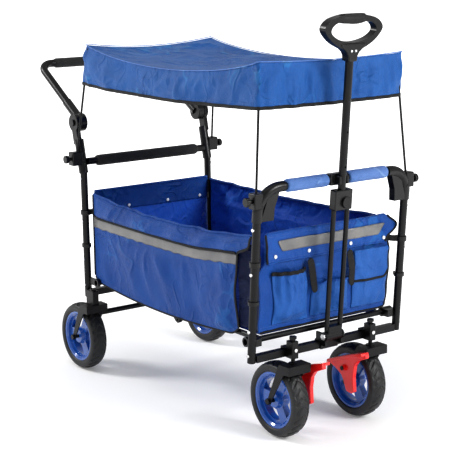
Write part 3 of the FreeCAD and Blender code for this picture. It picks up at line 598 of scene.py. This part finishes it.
def belongs(body, slot, *pieces):
    """Says which body the pieces ride. The slot argument is not used."""
    for piece in pieces:
        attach(piece, body)


# ---------------------------------------------------------------- canopy


def canopy_height(u, v):
    """The roof's height, u and v from -1 to 1: edges hang between corners, the middle between edges."""
    along = max(0, 1 - u * u) ** 0.8
    across = max(0, 1 - v * v)
    right, left = 0.042 * along, 0.039 * along
    rear, front = 0.015 * across, 0.007 * across
    sag = (1 - v) / 2 * right + (1 + v) / 2 * left + (1 - u) / 2 * rear + (1 + u) / 2 * front
    return CANOPY_TOP - sag


def corner_pull(x, y):
    """Creases that fan out from each corner, where the rods hold the cloth up."""
    total = 0
    for cx in (CANOPY_REAR, CANOPY_FRONT):
        for cy in (-CANOPY_HALF, CANOPY_HALF):
            dx, dy = x - cx, y - cy
            away = math.hypot(dx, dy)
            fan = math.sin(math.atan2(dy, dx) * 17 + cx * 9)
            total += fan * math.exp(-away / 0.1) * min(1, away / 0.04)
    return total * 0.003


def roof_point(u, v):
    """The roof, u and v from -1 to 1. Its rear corners are drawn in, where the rods lean together."""
    drawn = (1 - u) / 2
    x = CANOPY_REAR + (CANOPY_FRONT - CANOPY_REAR) * (u + 1) / 2 + 0.006 * drawn * drawn
    y = (CANOPY_HALF - 0.015 * drawn) * v
    if abs(u) == 1 and abs(v) == 1:
        x -= 0.005 * u
        y -= 0.005 * v
    calm = min(1, (1 - abs(u)) * 12, (1 - abs(v)) * 8)
    slack = 0.009 * ripple(x, y, 0, 7) + 0.004 * ripple(x, y, 0, 17, 4)
    slack += 0.004 * crease(x, y * 0.7, 0, 10, 3)
    return (x, y, canopy_height(u, v) + corner_pull(x, y) * calm + calm * slack)


def canopy_outline(columns, rows):
    """The (u, v) places round the roof's edge, anticlockwise from the rear right corner."""
    right = [(2 * k / columns - 1, -1) for k in range(columns)]
    front = [(1, 2 * k / rows - 1) for k in range(rows)]
    left = [(1 - 2 * k / columns, 1) for k in range(columns)]
    rear = [(-1, 1 - 2 * k / rows) for k in range(rows)]
    return right + front + left + rear


def valance_point(u, v, depth, proud=0.0):
    """A point on the hanging edge, depth from 0 at the roof to 1 at the binding."""
    x, y, top = roof_point(u, v)
    foot_x = CANOPY_REAR + (CANOPY_FRONT - CANOPY_REAR) * (u + 1) / 2
    foot_y = CANOPY_HALF * v
    on_side, on_end = abs(v) == 1, abs(u) == 1
    if on_side and on_end:
        foot_x -= 0.005 * u
        foot_y -= 0.005 * v
    bottom = CANOPY_BOTTOM - 0.010 * (1 - u * u) * on_side - 0.003 * (1 - v * v) * on_end
    out = Vector((u if on_end else 0, v if on_side else 0)).normalized()
    around = foot_x * on_side + foot_y * on_end + 0.7 * on_end
    corner = math.exp(-min((1 - abs(u)) * 8 if on_side else 9, (1 - abs(v)) * 5 if on_end else 9))
    lean = around + 0.05 * depth * math.copysign(1, around)
    wave = 0.011 * ripple(lean, v * 2, depth * 0.06, 9, 5) + 0.008 * ripple(lean, v, depth * 0.1, 21, 8)
    folds = 0.0065 * crease(lean, v, depth * 0.05, 12, 6) + 0.004 * crease(around, v, depth * 0.09, 24, 9)
    pull = 0.0026 * math.sin((around + depth * 0.1) * 105) * corner
    push = (wave + folds + pull) * ramp(depth, 0, 0.35) * (1 - 0.45 * ramp(depth, 0.8, 1)) - 0.003
    push *= 0.3 if on_side and on_end else 1
    share = depth ** 0.8
    x += (foot_x - x) * share + out.x * (push + proud)
    y += (foot_y - y) * share + out.y * (push + proud)
    return (x, y, top + (bottom - top) * depth)


def make_canopy_cloth(outline, columns, rows, drops=12):
    """The roof, and the hanging edge below its outline."""
    points = []
    for i in range(columns + 1):
        points += [roof_point(2 * i / columns - 1, 2 * j / rows - 1) for j in range(rows + 1)]
    faces = [face[::-1] for face in row_faces(columns + 1, rows + 1)]
    edge = [round((u + 1) / 2 * columns) * (rows + 1) + round((v + 1) / 2 * rows) for u, v in outline]
    count = len(outline)
    above = edge
    for drop in range(1, drops + 1):
        start = len(points)
        points += [valance_point(u, v, drop / drops) for u, v in outline]
        below = list(range(start, start + count))
        for k in range(count):
            after = (k + 1) % count
            faces.append((above[k], below[k], below[after], above[after]))
        above = below
    return smoothed(mesh_object("canopy_cloth", points, faces, [CANOPY, LIT_INSIDE_CLOTH]), CLOTH)


def make_canopy_seams():
    """Stitches along the corners and hems, and the piped seam down each long side."""
    rows, piped = [], []
    corners = [(u, v) for u in (-0.955, -0.945, 0.955, 0.945) for v in (-1, 1)]
    corners += [(u, v) for v in (-0.93, -0.90, 0.93, 0.90) for u in (-1, 1)]
    for u, v in corners:
        rows.append([valance_point(u, v, 0.04 + 0.9 * t, STITCH_LIFT) for t in shares(20)])
    for depth in (0.04, 0.88):
        for end in (-1, 1):
            rows.append([valance_point(-0.97 + 1.94 * t, end, depth, STITCH_LIFT) for t in shares(160)])
            rows.append([valance_point(end, -0.95 + 1.9 * t, depth, STITCH_LIFT) for t in shares(90)])
    for v in (-1, 1):
        run = [valance_point(-0.19 - 0.035 * t, v, 0.03 + 0.92 * t, 0.0006) for t in shares(20)]
        # The seam's pale piping is a painted highlight.
        piped.append(edging("seam", run, disc(0.0007, 6), PIPING_PAINTED_HIGHLIGHT, up=(0, 1, 0)))
    return joined("canopy_stitching", [stitches("stitches", rows), *piped])


def make_canopy():
    columns, rows = 96, 54
    outline = canopy_outline(columns, rows)
    cloth = make_canopy_cloth(outline, columns, rows)
    bottom_edge = [valance_point(u, v, 1) for u, v in outline]
    binding = edging("canopy_binding", bottom_edge, flat(0.0036, 0.0085), BINDING, closed=True)
    top_edge = []
    for u, v in outline:
        x, y, z = roof_point(u, v)
        top_edge.append((x, y, z + 0.0004))
    # The pale piping along the roof's edge is a painted highlight.
    piping = edging("canopy_piping", top_edge, disc(0.0013, 8), PIPING_PAINTED_HIGHLIGHT, closed=True)
    seam = make_canopy_seams()
    folds_with_canopy(cloth, binding, piping, seam)
    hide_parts("canopy_cover")


# ---------------------------------------------------------------- basket


def rim_height(u, side):
    """The upper edge, which dips between its ends."""
    return 0.518 - SIDE_SAG[side] * arch(u) ** 0.8


def hem_height(u):
    """The lower edge: lowest in the middle, and rounded up at both corners."""
    rear, front = max(0, 1 - u / 0.04), max(0, 1 - (1 - u) / 0.05)
    return 0.243 + 0.028 * (1 - u) ** 3 + 0.022 * u ** 3 + 0.014 * rear * rear + 0.016 * front * front


def strip_line(u):
    """Where the strip meets the rolled band above it."""
    return 0.4535 - 0.004 * arch(u) + 0.012 * ramp(u, 0.7, 1)


def side_out(u, x, z, side):
    """How far the side cloth stands out from the wagon's middle plane."""
    top, bottom, line = rim_height(u, side), hem_height(u), strip_line(u)
    share = clamped((z - bottom) / (top - bottom))
    ends = ramp(u, 0, 0.06) * (1 - 0.5 * ramp(u, 0.93, 1))
    belly = 0.006 * arch(share)
    over = clamped((z - line - 0.002) / (top - line))
    roll = 0.015 * arch(over ** 0.75) ** 0.7 - 0.006 * ramp(over, 0.85, 1)
    lower = ramp(line - 0.026 - z, 0, 0.03) * ramp(z, bottom, bottom + 0.02)
    slack = 0.015 * ripple(x + 0.4 * z, side, z * 0.5, 8, side)
    slack += 0.007 * ripple(x + 0.2 * z, side, z * 0.5, 19, side + 2)
    folds = 0.0070 * crease(x + 0.45 * z, side, z * 0.3, 7, side + 3)
    folds += 0.0045 * crease(x - 0.25 * z, side, z * 0.25, 13, side + 6)
    puckers = 0.0022 * ripple(x, side, z * 0.2, 70, side + 5) * math.exp(-max(0, line - 0.026 - z) / 0.05)
    upper = 0.013 * ripple(x - 0.8 * z, side, z, 14, side + 9)
    upper += 0.006 * crease(x - 0.9 * z, side, z * 0.5, 15, side + 1)
    upper *= ramp(over, 0.05, 0.3)
    return BASKET_HALF + ends * (belly + roll + lower * (slack + folds + puckers) + upper)


def side_point(u, z, side, proud=0.0):
    """A point on a side, u from its rear edge to its front edge. The rolled band reaches further ahead."""
    front = BASKET_FRONT - 0.010 * arch(ramp(z, 0.285, 0.47)) + 0.052 * ramp(z, 0.468, 0.49)
    x = BASKET_REAR + (front - BASKET_REAR) * u
    return (x, side * (side_out(u, x, z, side) + proud), z)


def make_side_edges(hand, side):
    """The rolled rim, and the dark binding along the strip, the hem and both ends."""
    line = shares(99)
    rim_path = [side_point(u, rim_height(u, side), side, -0.001) for u in line]
    rim = edging(f"side_rim_{hand}", rim_path, flat(0.0075, 0.008, 0.45), BLUE)
    piping_path = [side_point(u, strip_line(u) + 0.003, side, 0.0026) for u in line]
    piping = edging("piping", piping_path, flat(0.0045, 0.0065), BINDING)
    hem_path = [side_point(u, hem_height(u), side, -0.0004) for u in line]
    hem = edging("hem", hem_path, disc(0.0028, 8), BINDING)
    ends = []
    for u in (0, 1):
        low, high = hem_height(u), rim_height(u, side)
        edge = [side_point(u, low + (high - low) * v, side) for v in shares(30)]
        ends.append(edging("edge", edge, flat(0.0075, 0.0042), BINDING, up=(0, 1, 0)))
    return [rim, joined(f"side_binding_{hand}", [piping, hem, *ends])]


def make_side_seams(hand, side):
    """Two rows of stitches below the rim and one above the hem."""
    line, rows = shares(99), []
    for height in (-0.008, -0.016):
        rows.append([side_point(u, rim_height(u, side) + height, side, STITCH_LIFT) for u in line])
    rows.append([side_point(u, hem_height(u) + 0.009, side, STITCH_LIFT) for u in line])
    return stitches(f"side_stitching_{hand}", rows)


def make_basket_side(hand, side):
    def cloth_point(u, v):
        return side_point(u, hem_height(u) + (rim_height(u, side) - hem_height(u)) * v, side)

    def strip_point(u, v):
        along = 0.003 + 0.994 * u
        wave = 0.0016 * math.sin(u * 95) * (0.6 + 0.4 * math.sin(u * 23))
        return side_point(along, strip_line(along) - (0.0265 + wave) * (1 - v), side, 0.0018)

    name = f"basket_side_{hand}"
    cloth = sheet_grid(name, cloth_point, 52, 120, [BLUE, LIT_INSIDE_CLOTH], (0, side, 0))
    strip = sheet_grid(f"side_strip_{hand}", strip_point, 4, 150, [TAPE, TAPE], (0, side, 0), 0.001)
    pieces = [strip, *make_side_edges(hand, side), make_side_seams(hand, side)]
    folds_with_basket(cloth, *pieces)
    return cloth


def make_gusset(hand, side):
    """The cloth that closes the corner between a side and the front panel, coloured a near-black blue as
    painted shade for the recessed corner.
    """

    def place(u, v):
        x = BASKET_FRONT - 0.002 + (FRONT_PANEL - 0.001 - BASKET_FRONT) * u
        top = 0.508 - 0.020 * arch(u)
        z = FRONT_FOOT + (top - FRONT_FOOT) * v
        inward = 0.016 * arch(u) * (0.6 + 0.4 * v)
        y = BASKET_HALF - 0.003 - inward + 0.003 * ripple(x, side, z, 30, 4)
        return (x, side * y, z)

    gusset = sheet_grid(f"corner_gusset_{hand}", place, 16, 14, [GUSSET_PAINTED_SHADE, LIT_INSIDE_CLOTH], (0, side, 0))
    folds_with_basket(gusset)


def front_out(y, z):
    """How far ahead the front cloth stands."""
    belly = 0.005 * arch(clamped((z - 0.29) / 0.235))
    slack = 0.008 * ripple(0, y * 1.3, z, 13, 12) + 0.004 * ripple(0, y * 1.4, z, 30, 13)
    return FRONT_PANEL + belly + slack + 0.0045 * crease(0, y * 1.2, z * 0.8, 14, 15)


def front_point(y, z, proud=0.0):
    return (front_out(y, z) + proud, y, z)


def patch_place(top, foot, z_range, u, v, proud):
    """A point on a patch whose ends lie at top[0] and top[1] above and at foot[0] and foot[1] below."""
    left = foot[0] + (top[0] - foot[0]) * v
    right = foot[1] + (top[1] - foot[1]) * v
    return front_point(left + (right - left) * u, z_range[0] + (z_range[1] - z_range[0]) * v, proud)


def patch(name, top, foot, z_range, bulge, base=0.0022, gather=0.0, cells=(18, 24)):
    """A pocket sewn on the front cloth at its sides and foot, and standing off between them."""

    def place(u, v):
        swell = arch(u) ** 0.6 * ramp(v, 0, 0.22)
        folds = gather * math.sin(u * 30 + 3 * math.sin(v * 2.4)) * ramp(v, 0.15, 0.9)
        crumple = 0.25 * bulge * ripple(u, v, 0, 3.2, len(name)) * arch(u)
        return patch_place(top, foot, z_range, u, v, base + bulge * swell + folds + crumple)

    return sheet_grid(name, place, cells[0], cells[1], [POCKET, POCKET], (1, 0, 0), 0.0012)


def patch_line(y_range, z, bulge, base, gather=0.0):
    """A line across the top of a patch, just proud of it."""
    line = []
    for u in shares(31):
        y = y_range[0] + (y_range[1] - y_range[0]) * u
        folds = gather * math.sin(u * 30 + 2)
        line.append(front_point(y, z, base + bulge * arch(u) ** 0.6 + folds))
    return line


def snap(name, centre, axis, radius):
    """A domed cap, as on a snap button or a screw."""
    dome = [(radius, 0), (radius, 0.0008), (radius * 0.85, 0.0016)]
    dome += [(radius * 0.45, 0.0022), (0.0002, 0.0023)]
    return turned(name, dome, centre, axis, SNAP, 16)


def flap_point(u, v):
    """The flap along the top of the front cloth. Its left end juts out past the panel as a wing."""
    left = -0.1855 - 0.0025 * v
    right = 0.188 + 0.0385 * ramp(v, 0, 0.6) - 0.0225 * ramp(v, 0.62, 1)
    low = 0.4545 + 0.0065 * u + 0.002 * math.sin(u * 11)
    y = left + (right - left) * u
    wing = 0.010 * ramp(y, 0.19, 0.228)
    return front_point(y, low + (RIM_TOP + 0.001 - low) * v, 0.0035 + 0.0030 * (1 - v) + wing)


def make_front_flap():
    def tape_point(u, v):
        left, right = -0.1398 - 0.0136 * v, 0.1687 + 0.0243 * v
        y = left + (right - left) * u
        return front_point(y, 0.4803 + 0.0268 * v, 0.0068 + 0.006 * ramp(y, 0.17, 0.2))

    flap = sheet_grid("front_flap", flap_point, 10, 60, [BLUE, LIT_INSIDE_CLOTH], (1, 0, 0))
    tape = sheet_grid("front_strip", tape_point, 3, 40, [TAPE, TAPE], (1, 0, 0), 0.0008)
    ends = []
    for u in (0, 1):
        edge = [flap_point(u, v) for v in shares(16)]
        ends.append(edging("edge", edge, flat(0.0042, 0.0055), BINDING, up=(0, 1, 0)))
    foot = [flap_point(u, 0) for u in shares(60)]
    hem = edging("flap_hem", foot, flat(0.003, 0.004), BLUE)
    caps, rows = [], []
    for y in (-0.162, -0.056, 0.076, 0.1835):
        caps.append(snap("cap", front_point(y, 0.4705, 0.0072), (1, 0, 0), CAP_RADIUS))
    for v in (0.08, 0.9):
        row = [flap_point(u, v) for u in shares(80)]
        rows.append([(x + 0.0006, y, z) for x, y, z in row])
    trim = [joined("flap_ends", ends), hem, joined("front_snaps", caps), stitches("flap_stitching", rows)]
    return [flap, tape, *trim]


def make_front_pockets():
    """A gathered pocket, two small open ones, and a large one with a flap."""
    net_top, net_foot, net_z = (-0.168, -0.070), (-0.165, -0.056), (0.301, 0.426)
    net = patch("front_pocket_gathered", net_top, net_foot, net_z, 0.015, gather=0.0028, cells=(30, 44))
    elastic_line = patch_line((-0.171, -0.068), 0.428, 0.015, 0.003, 0.0028)
    elastic = edging("elastic", elastic_line, flat(0.004, 0.010), BINDING)
    pouches = []
    for low, high in ((-0.046, 0.008), (0.016, 0.070)):
        pouches.append(patch("pouch", (low, high), (low, high), (0.304, 0.385), 0.009))
        edge = patch_line((low, high), 0.385, 0.009, 0.003)
        pouches.append(edging("edge", edge, flat(0.003, 0.005), BLUE))
    small = joined("front_pockets_small", pouches)
    big = patch("front_pocket_flapped", (0.086, 0.196), (0.084, 0.199), (0.302, 0.44), 0.006)

    def cover_point(u, v):
        corner = 0.020 * ramp(u, 0.78, 1) ** 2
        low = 0.3715 + corner
        proud = 0.0052 + 0.008 * arch(u) ** 0.6 + 0.0015 * ripple(u, v, 0, 4, 3)
        return front_point(0.088 + 0.109 * u, low + (0.450 - low) * v, proud)

    cover = sheet_grid("front_pocket_flap", cover_point, 14, 26, [POCKET, POCKET], (1, 0, 0), 0.0012)
    border = [cover_point(u, 0) for u in shares(24)] + [cover_point(1, v) for v in shares(10)[1:]]
    border_trim = edging("edge", border, flat(0.0062, 0.0035), BINDING, up=(1, 0, 0))
    trim = joined("pocket_binding", [elastic, border_trim])
    return [net, small, big, cover, trim]


def strap_width(t):
    """A hanging strap narrows a little at its end."""
    return 1 - 0.2 * ramp(t, 0.8, 1)


def make_front_straps():
    """Two webbing ends that hang over the front cloth."""
    straps = []
    for places in (
        ((-0.061, 0.4555), (-0.058, 0.435), (-0.053, 0.41), (-0.047, 0.385), (-0.044, 0.364)),
        ((0.068, 0.4585), (0.069, 0.435), (0.073, 0.41), (0.075, 0.385), (0.075, 0.362)),
    ):
        run = [front_point(y, z, 0.0135 + 0.002 * math.sin(k * 1.7)) for k, (y, z) in enumerate(places)]
        straps.append(edging("strap", run, flat(0.020, 0.0018), STRAP, up=(1, 0, 0), grow=strap_width))
    return joined("front_straps", straps)


def make_front_panel():
    def cloth_point(u, v):
        z = FRONT_FOOT + (RIM_TOP - FRONT_FOOT) * v
        right = -FRONT_HALF + 0.016 * ramp(z, 0.43, 0.455)
        return front_point(right + (FRONT_HALF - right) * u, z)

    cloth = sheet_grid("basket_front_cloth", cloth_point, 40, 50, [BLUE, LIT_INSIDE_CLOTH], (1, 0, 0))
    across = [FRONT_HALF * (2 * u - 1) for u in shares(40)]
    top = [front_point(y, RIM_TOP, -0.001) for y in across[2:]]
    rim = edging("front_rim", top, flat(0.0085, 0.007), BLUE)
    hem = edging("front_hem", [front_point(y, 0.287) for y in across], disc(0.0028, 8), BINDING)
    edge = [front_point(FRONT_HALF, FRONT_FOOT + 0.238 * v) for v in shares(20)]
    left_edge = edging("edge", edge, flat(0.004, 0.0065), BINDING, up=(0, 1, 0))
    edge = [cloth_point(0, v) for v in shares(24)]
    right_edge = edging("edge", edge, flat(0.004, 0.005), BLUE, up=(0, 1, 0))
    edges = joined("front_binding", [hem, left_edge, right_edge])
    seams = stitches("front_stitching", [[front_point(y, 0.298, STITCH_LIFT) for y in across]])

    pieces = [rim, edges, seams, *make_front_flap(), *make_front_pockets(), make_front_straps()]
    belongs("front_frame", "fabric", cloth, *pieces)
    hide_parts("basket_front_panel")


def rear_point(y, z, proud=0.0):
    """A point on the outer side of the rear cloth."""
    belly = 0.004 * arch(clamped((z - 0.28) / 0.245))
    return (REAR_PANEL - belly - 0.0025 * ripple(0, y, z, 14, 21) - proud, y, z)


def make_rear_trim():
    """The rear cloth's rim, bindings, snaps and stitches."""
    across = [REAR_HALF * (2 * u - 1) for u in shares(40)]
    top = [rear_point(y, RIM_TOP, -0.001) for y in across]
    rim = edging("rear_rim", top, flat(0.0085, 0.007), BLUE)
    hem = edging("hem", [rear_point(y, 0.28) for y in across], disc(0.0028, 8), BINDING)
    middle = [rear_point(y, 0.4575, 0.0012) for y in across]
    piping = edging("piping", middle, flat(0.0045, 0.0075), BINDING)
    corners = []
    for side in (-1, 1):
        post = [(REAR_PANEL + 0.009, side * (REAR_HALF + 0.001), 0.285 + 0.235 * v) for v in shares(20)]
        corners.append(edging("corner", post, flat(0.004, 0.008), BINDING, up=(0, 1, 0)))
    trim = joined("rear_binding", [hem, piping, *corners])
    caps = []
    for y in (-0.0815, 0.051, 0.164):
        x, y, z = rear_point(y, 0.472)
        caps.append(snap("cap", (x + 0.0062, y, z), (1, 0, 0), CAP_RADIUS))
    rows = [[rear_point(y, height, STITCH_LIFT) for y in across] for height in (0.29, 0.514)]
    return [rim, trim, joined("rear_snaps", caps), stitches("rear_stitching", rows)]


def make_rear_panel():
    def cloth_point(u, v):
        return rear_point(REAR_HALF * (2 * u - 1), REAR_FOOT + (RIM_TOP - REAR_FOOT) * v)

    def tape_point(u, v):
        return rear_point((REAR_HALF - 0.001) * (2 * u - 1), 0.4275 + 0.026 * v, 0.0012)

    def band_point(u, v):
        y = (REAR_HALF - 0.002) * (2 * u - 1)
        x, y, z = rear_point(y, 0.463 + 0.064 * v)
        return (x + CLOTH + 0.0012 + 0.002 * (1 - v), y, z)

    cloth = sheet_grid("basket_rear_cloth", cloth_point, 22, 34, [BLUE, LIT_INSIDE_CLOTH], (-1, 0, 0))
    tape = sheet_grid("rear_strip", tape_point, 3, 40, [TAPE, TAPE], (-1, 0, 0), 0.0008)
    band = sheet_grid("rear_inner_band", band_point, 8, 34, [BLUE, BLUE], (1, 0, 0), 0.0012)
    pieces = [tape, band, *make_rear_trim()]
    belongs("rear_frame", "fabric", cloth, *pieces)
    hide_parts("basket_rear_panel")


def post_x(z):
    """The front posts lean forward as they rise."""
    return 0.394 + 0.0722 * (z - 0.222)


def make_corner_straps():
    """Short webbing from the posts' clips to the basket's corners."""
    for hand, side in SIDES.items():
        front_start = Vector((post_x(0.466), side * 0.222, 0.466))
        front_end = Vector((FRONT_PANEL - 0.002, side * 0.196, 0.470))
        rear_start = Vector((-0.394, side * 0.206, 0.466))
        rear_end = Vector((-0.372, side * 0.2, 0.470))
        for name, body, start, end in (
            ("front", "front_frame", front_start, front_end),
            ("rear", "rear_frame", rear_start, rear_end),
        ):
            run = [start.lerp(end, t) - Vector((0, 0, 0.002 * arch(t))) for t in shares(6)]
            strap = edging(f"{name}_corner_strap_{hand}", run, flat(0.0022, 0.016), STRAP)
            belongs(body, "fabric", strap)


def make_basket():
    make_front_panel()
    make_rear_panel()
    sides = [make_basket_side(hand, side) for hand, side in SIDES.items()]
    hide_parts("basket_sides")
    for hand, side in SIDES.items():
        make_gusset(hand, side)
    make_corner_straps()


# ---------------------------------------------------------------- sleeves and wheels


def sleeve(name, start, end, radius, finish, body, slot, node, wrinkle=0.0006):
    """A foam sleeve on a straight rail, with rounded ends and small wrinkles."""
    start, end = Vector(start), Vector(end)
    length, rings, sides = (end - start).length, 48, 28
    along = (end - start) / length
    across = along.orthogonal().normalized()
    rise = along.cross(across)
    points = []
    for i in range(rings + 1):
        share = i / rings
        away = min(share, 1 - share) * length
        end_round = math.sqrt(max(0, 1 - max(0, 1 - away / 0.007) ** 2))
        size = radius * (0.74 + 0.26 * end_round)
        for k in range(sides):
            angle = math.tau * k / sides
            spot = start + along * length * share
            turn_x, turn_z = math.cos(angle), math.sin(angle)
            bump = wrinkle * ripple(spot.x + turn_x * 0.02, spot.y, spot.z + turn_z * 0.02, 60, 2)
            points.append(tuple(spot + (across * turn_x + rise * turn_z) * (size + bump)))
    made = smoothed(mesh_object(name, points, tube_faces(rings + 1, sides), [finish]))
    belongs(body, slot, made)
    if node:
        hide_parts(node)
    return made


def tread_depth(angle, y):
    """Curved sipes that meet in a V along the middle of the tread."""
    reach = abs(y) / 0.020
    turn = angle * 26 / math.tau + reach ** 1.4 * 0.9
    sipe = 0.0024 if (turn % 1) < 0.27 and 0.1 < reach < 0.99 else 0
    branch = 0.0016 if ((turn * 2 + 0.5) % 1) < 0.2 and 0.5 < reach < 0.9 else 0
    return max(sipe, branch)


def tyre_section():
    """(radius, across) from one bead over the tread to the other."""
    wall = [(BEAD_RADIUS, 0.0195), (0.0728, 0.0222), (0.0765, 0.0237)]
    wall += [(0.081, 0.024), (0.0848, 0.0234), (0.088, 0.022)]
    crown = []
    for k in range(25):
        y = 0.020 - 0.040 * k / 24
        crown.append((WHEEL_RADIUS - 0.0052 * abs(y / 0.020) ** 2.3, y))
    return wall + crown + [(radius, -y) for radius, y in reversed(wall)]


def make_tyre(corner):
    x, y = WHEELS[corner]
    section, steps = tyre_section(), 320
    points = []
    for k in range(steps):
        angle = math.tau * k / steps
        for radius, across in section:
            here = radius - (tread_depth(angle, across) if radius > 0.0885 else 0)
            points.append((x + here * math.cos(angle), y + across, AXLE_HEIGHT + here * math.sin(angle)))
    end, hand = corner.split("_")
    tyre = mesh_object(f"tyre_{corner}", points, loop_faces(steps, len(section)), [TYRE])
    belongs(f"{end}_wheel_{hand}", "tyre", tyre)
    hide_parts(f"{end}_tyre_{hand}")


def make_sleeves_and_wheels():
    for hand, side, node in (("left", 1, "front_rail_foam"), ("right", -1, None)):
        start, end = (0.430, side * 0.0315, 0.645), (0.430, side * 0.1575, 0.645)
        sleeve(f"rail_sleeve_{hand}", start, end, 0.0156, SLEEVE, "front_frame", "foam_cover", node)
    rail = [(-0.399, y, 0.607) for y in (-0.173, 0.173)]
    sleeve("rear_rail_sleeve", *rail, 0.0155, FOAM, "rear_frame", "foam", "rear_rail_foam", 0.0002)
    low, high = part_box("push_grip")
    middle = (low + high) / 2
    grip = [(middle.x - AHEAD, y, middle.z + DROP) for y in (low.y, high.y)]
    sleeve("push_grip_sleeve", *grip, 0.0142, FOAM, "push_handle", "foam", "push_grip", 0.0002)
    for corner in WHEELS:
        make_tyre(corner)


def make_grip_screws():
    """Two screw heads on the front of the D-grip's neck."""
    heads = [snap("head", (0.4877, y, 0.951), (1, 0, 0.08), 0.003) for y in (-0.0065, 0.0065)]
    screws = joined("grip_screws", heads)
    belongs("pull_pole", "plastic", screws)


def cushion_size(t):
    """The pad's girth along the bar, t from 0 to 1."""
    return 0.80 + 0.2 * arch(t) ** 0.5


def make_grip_cushion():
    """The soft pad moulded round the top bar of the D-grip, fuller in its middle."""
    centre = [(0.4812, 0.0385 * (k / 15 - 1), 1.0253 + 0.001 * (k / 15 - 1) ** 2) for k in range(31)]
    oval = [(across, upward * 0.976) for across, upward in disc(0.0125, 24)]
    pad = edging("grip_cushion", centre, oval, SOFT, grow=cushion_size)
    belongs("pull_pole", "plastic", pad)


# ---------------------------------------------------------------- studio


def make_camera():
    azimuth, elevation, roll = math.radians(53.805), math.radians(11.645), math.radians(-0.649)
    level = math.cos(elevation)
    back = Vector((math.sin(azimuth) * level, -math.cos(azimuth) * level, math.sin(elevation)))
    right = (-back).cross(Vector((0, 0, 1))).normalized()
    up = right.cross(-back)
    turn = Matrix(
        (
            math.cos(roll) * right + math.sin(roll) * up,
            math.cos(roll) * up - math.sin(roll) * right,
            back,
        )
    ).transposed()
    lens = bpy.data.cameras.new("camera")
    lens.lens = 108.4
    lens.sensor_width = 36
    camera = added("camera", lens)
    place = (2.8485 + AHEAD, -2.1018, 1.1925 - DROP)
    camera.matrix_world = Matrix.Translation(place) @ turn.to_4x4()
    bpy.context.scene.camera = camera


def area_light(name, place, target, size, power):
    lamp = bpy.data.lights.new(name, "AREA")
    lamp.energy = power
    lamp.size = size
    obj = added(name, lamp)
    obj.location = place
    obj.rotation_euler = (Vector(target) - Vector(place)).to_track_quat("-Z", "Y").to_euler()


def make_studio():
    half = 14
    corners = [(-half, -half), (half, -half), (half, half), (-half, half)]
    points = [(x, y, DROP) for x, y in corners]
    floor = mesh_object("studio_floor", points, [(0, 1, 2, 3)], [studio_floor("floor_paper")], False)
    world = bpy.data.worlds.new("studio")
    world.use_nodes = True
    nodes = world.node_tree.nodes
    sky, seen = nodes["Background"], nodes.new("ShaderNodeLightPath")
    sky.inputs["Color"].default_value = (1, 1, 1, 1)
    feed(world, spread(world, seen.outputs["Is Camera Ray"], 0.5, 1.05), sky.inputs["Strength"])
    bpy.context.scene.world = world
    bpy.context.scene.view_settings.view_transform = "Standard"
    bpy.context.scene.view_settings.look = "Medium High Contrast"
    area_light("key", (-2.6, -2.3, 2.6), (0, 0, 0.4), 1.0, 82)
    area_light("fill", (3.6, 1.2, 2.2), (0, 0, 0.5), 1.2, 100)
    area_light("top", (0.4, -0.6, 4.2), (0, 0, 0.3), 2.4, 18)


dress_cad_nodes()
make_canopy()
make_basket()
make_sleeves_and_wheels()
make_grip_screws()
make_grip_cushion()
make_camera()
make_studio()
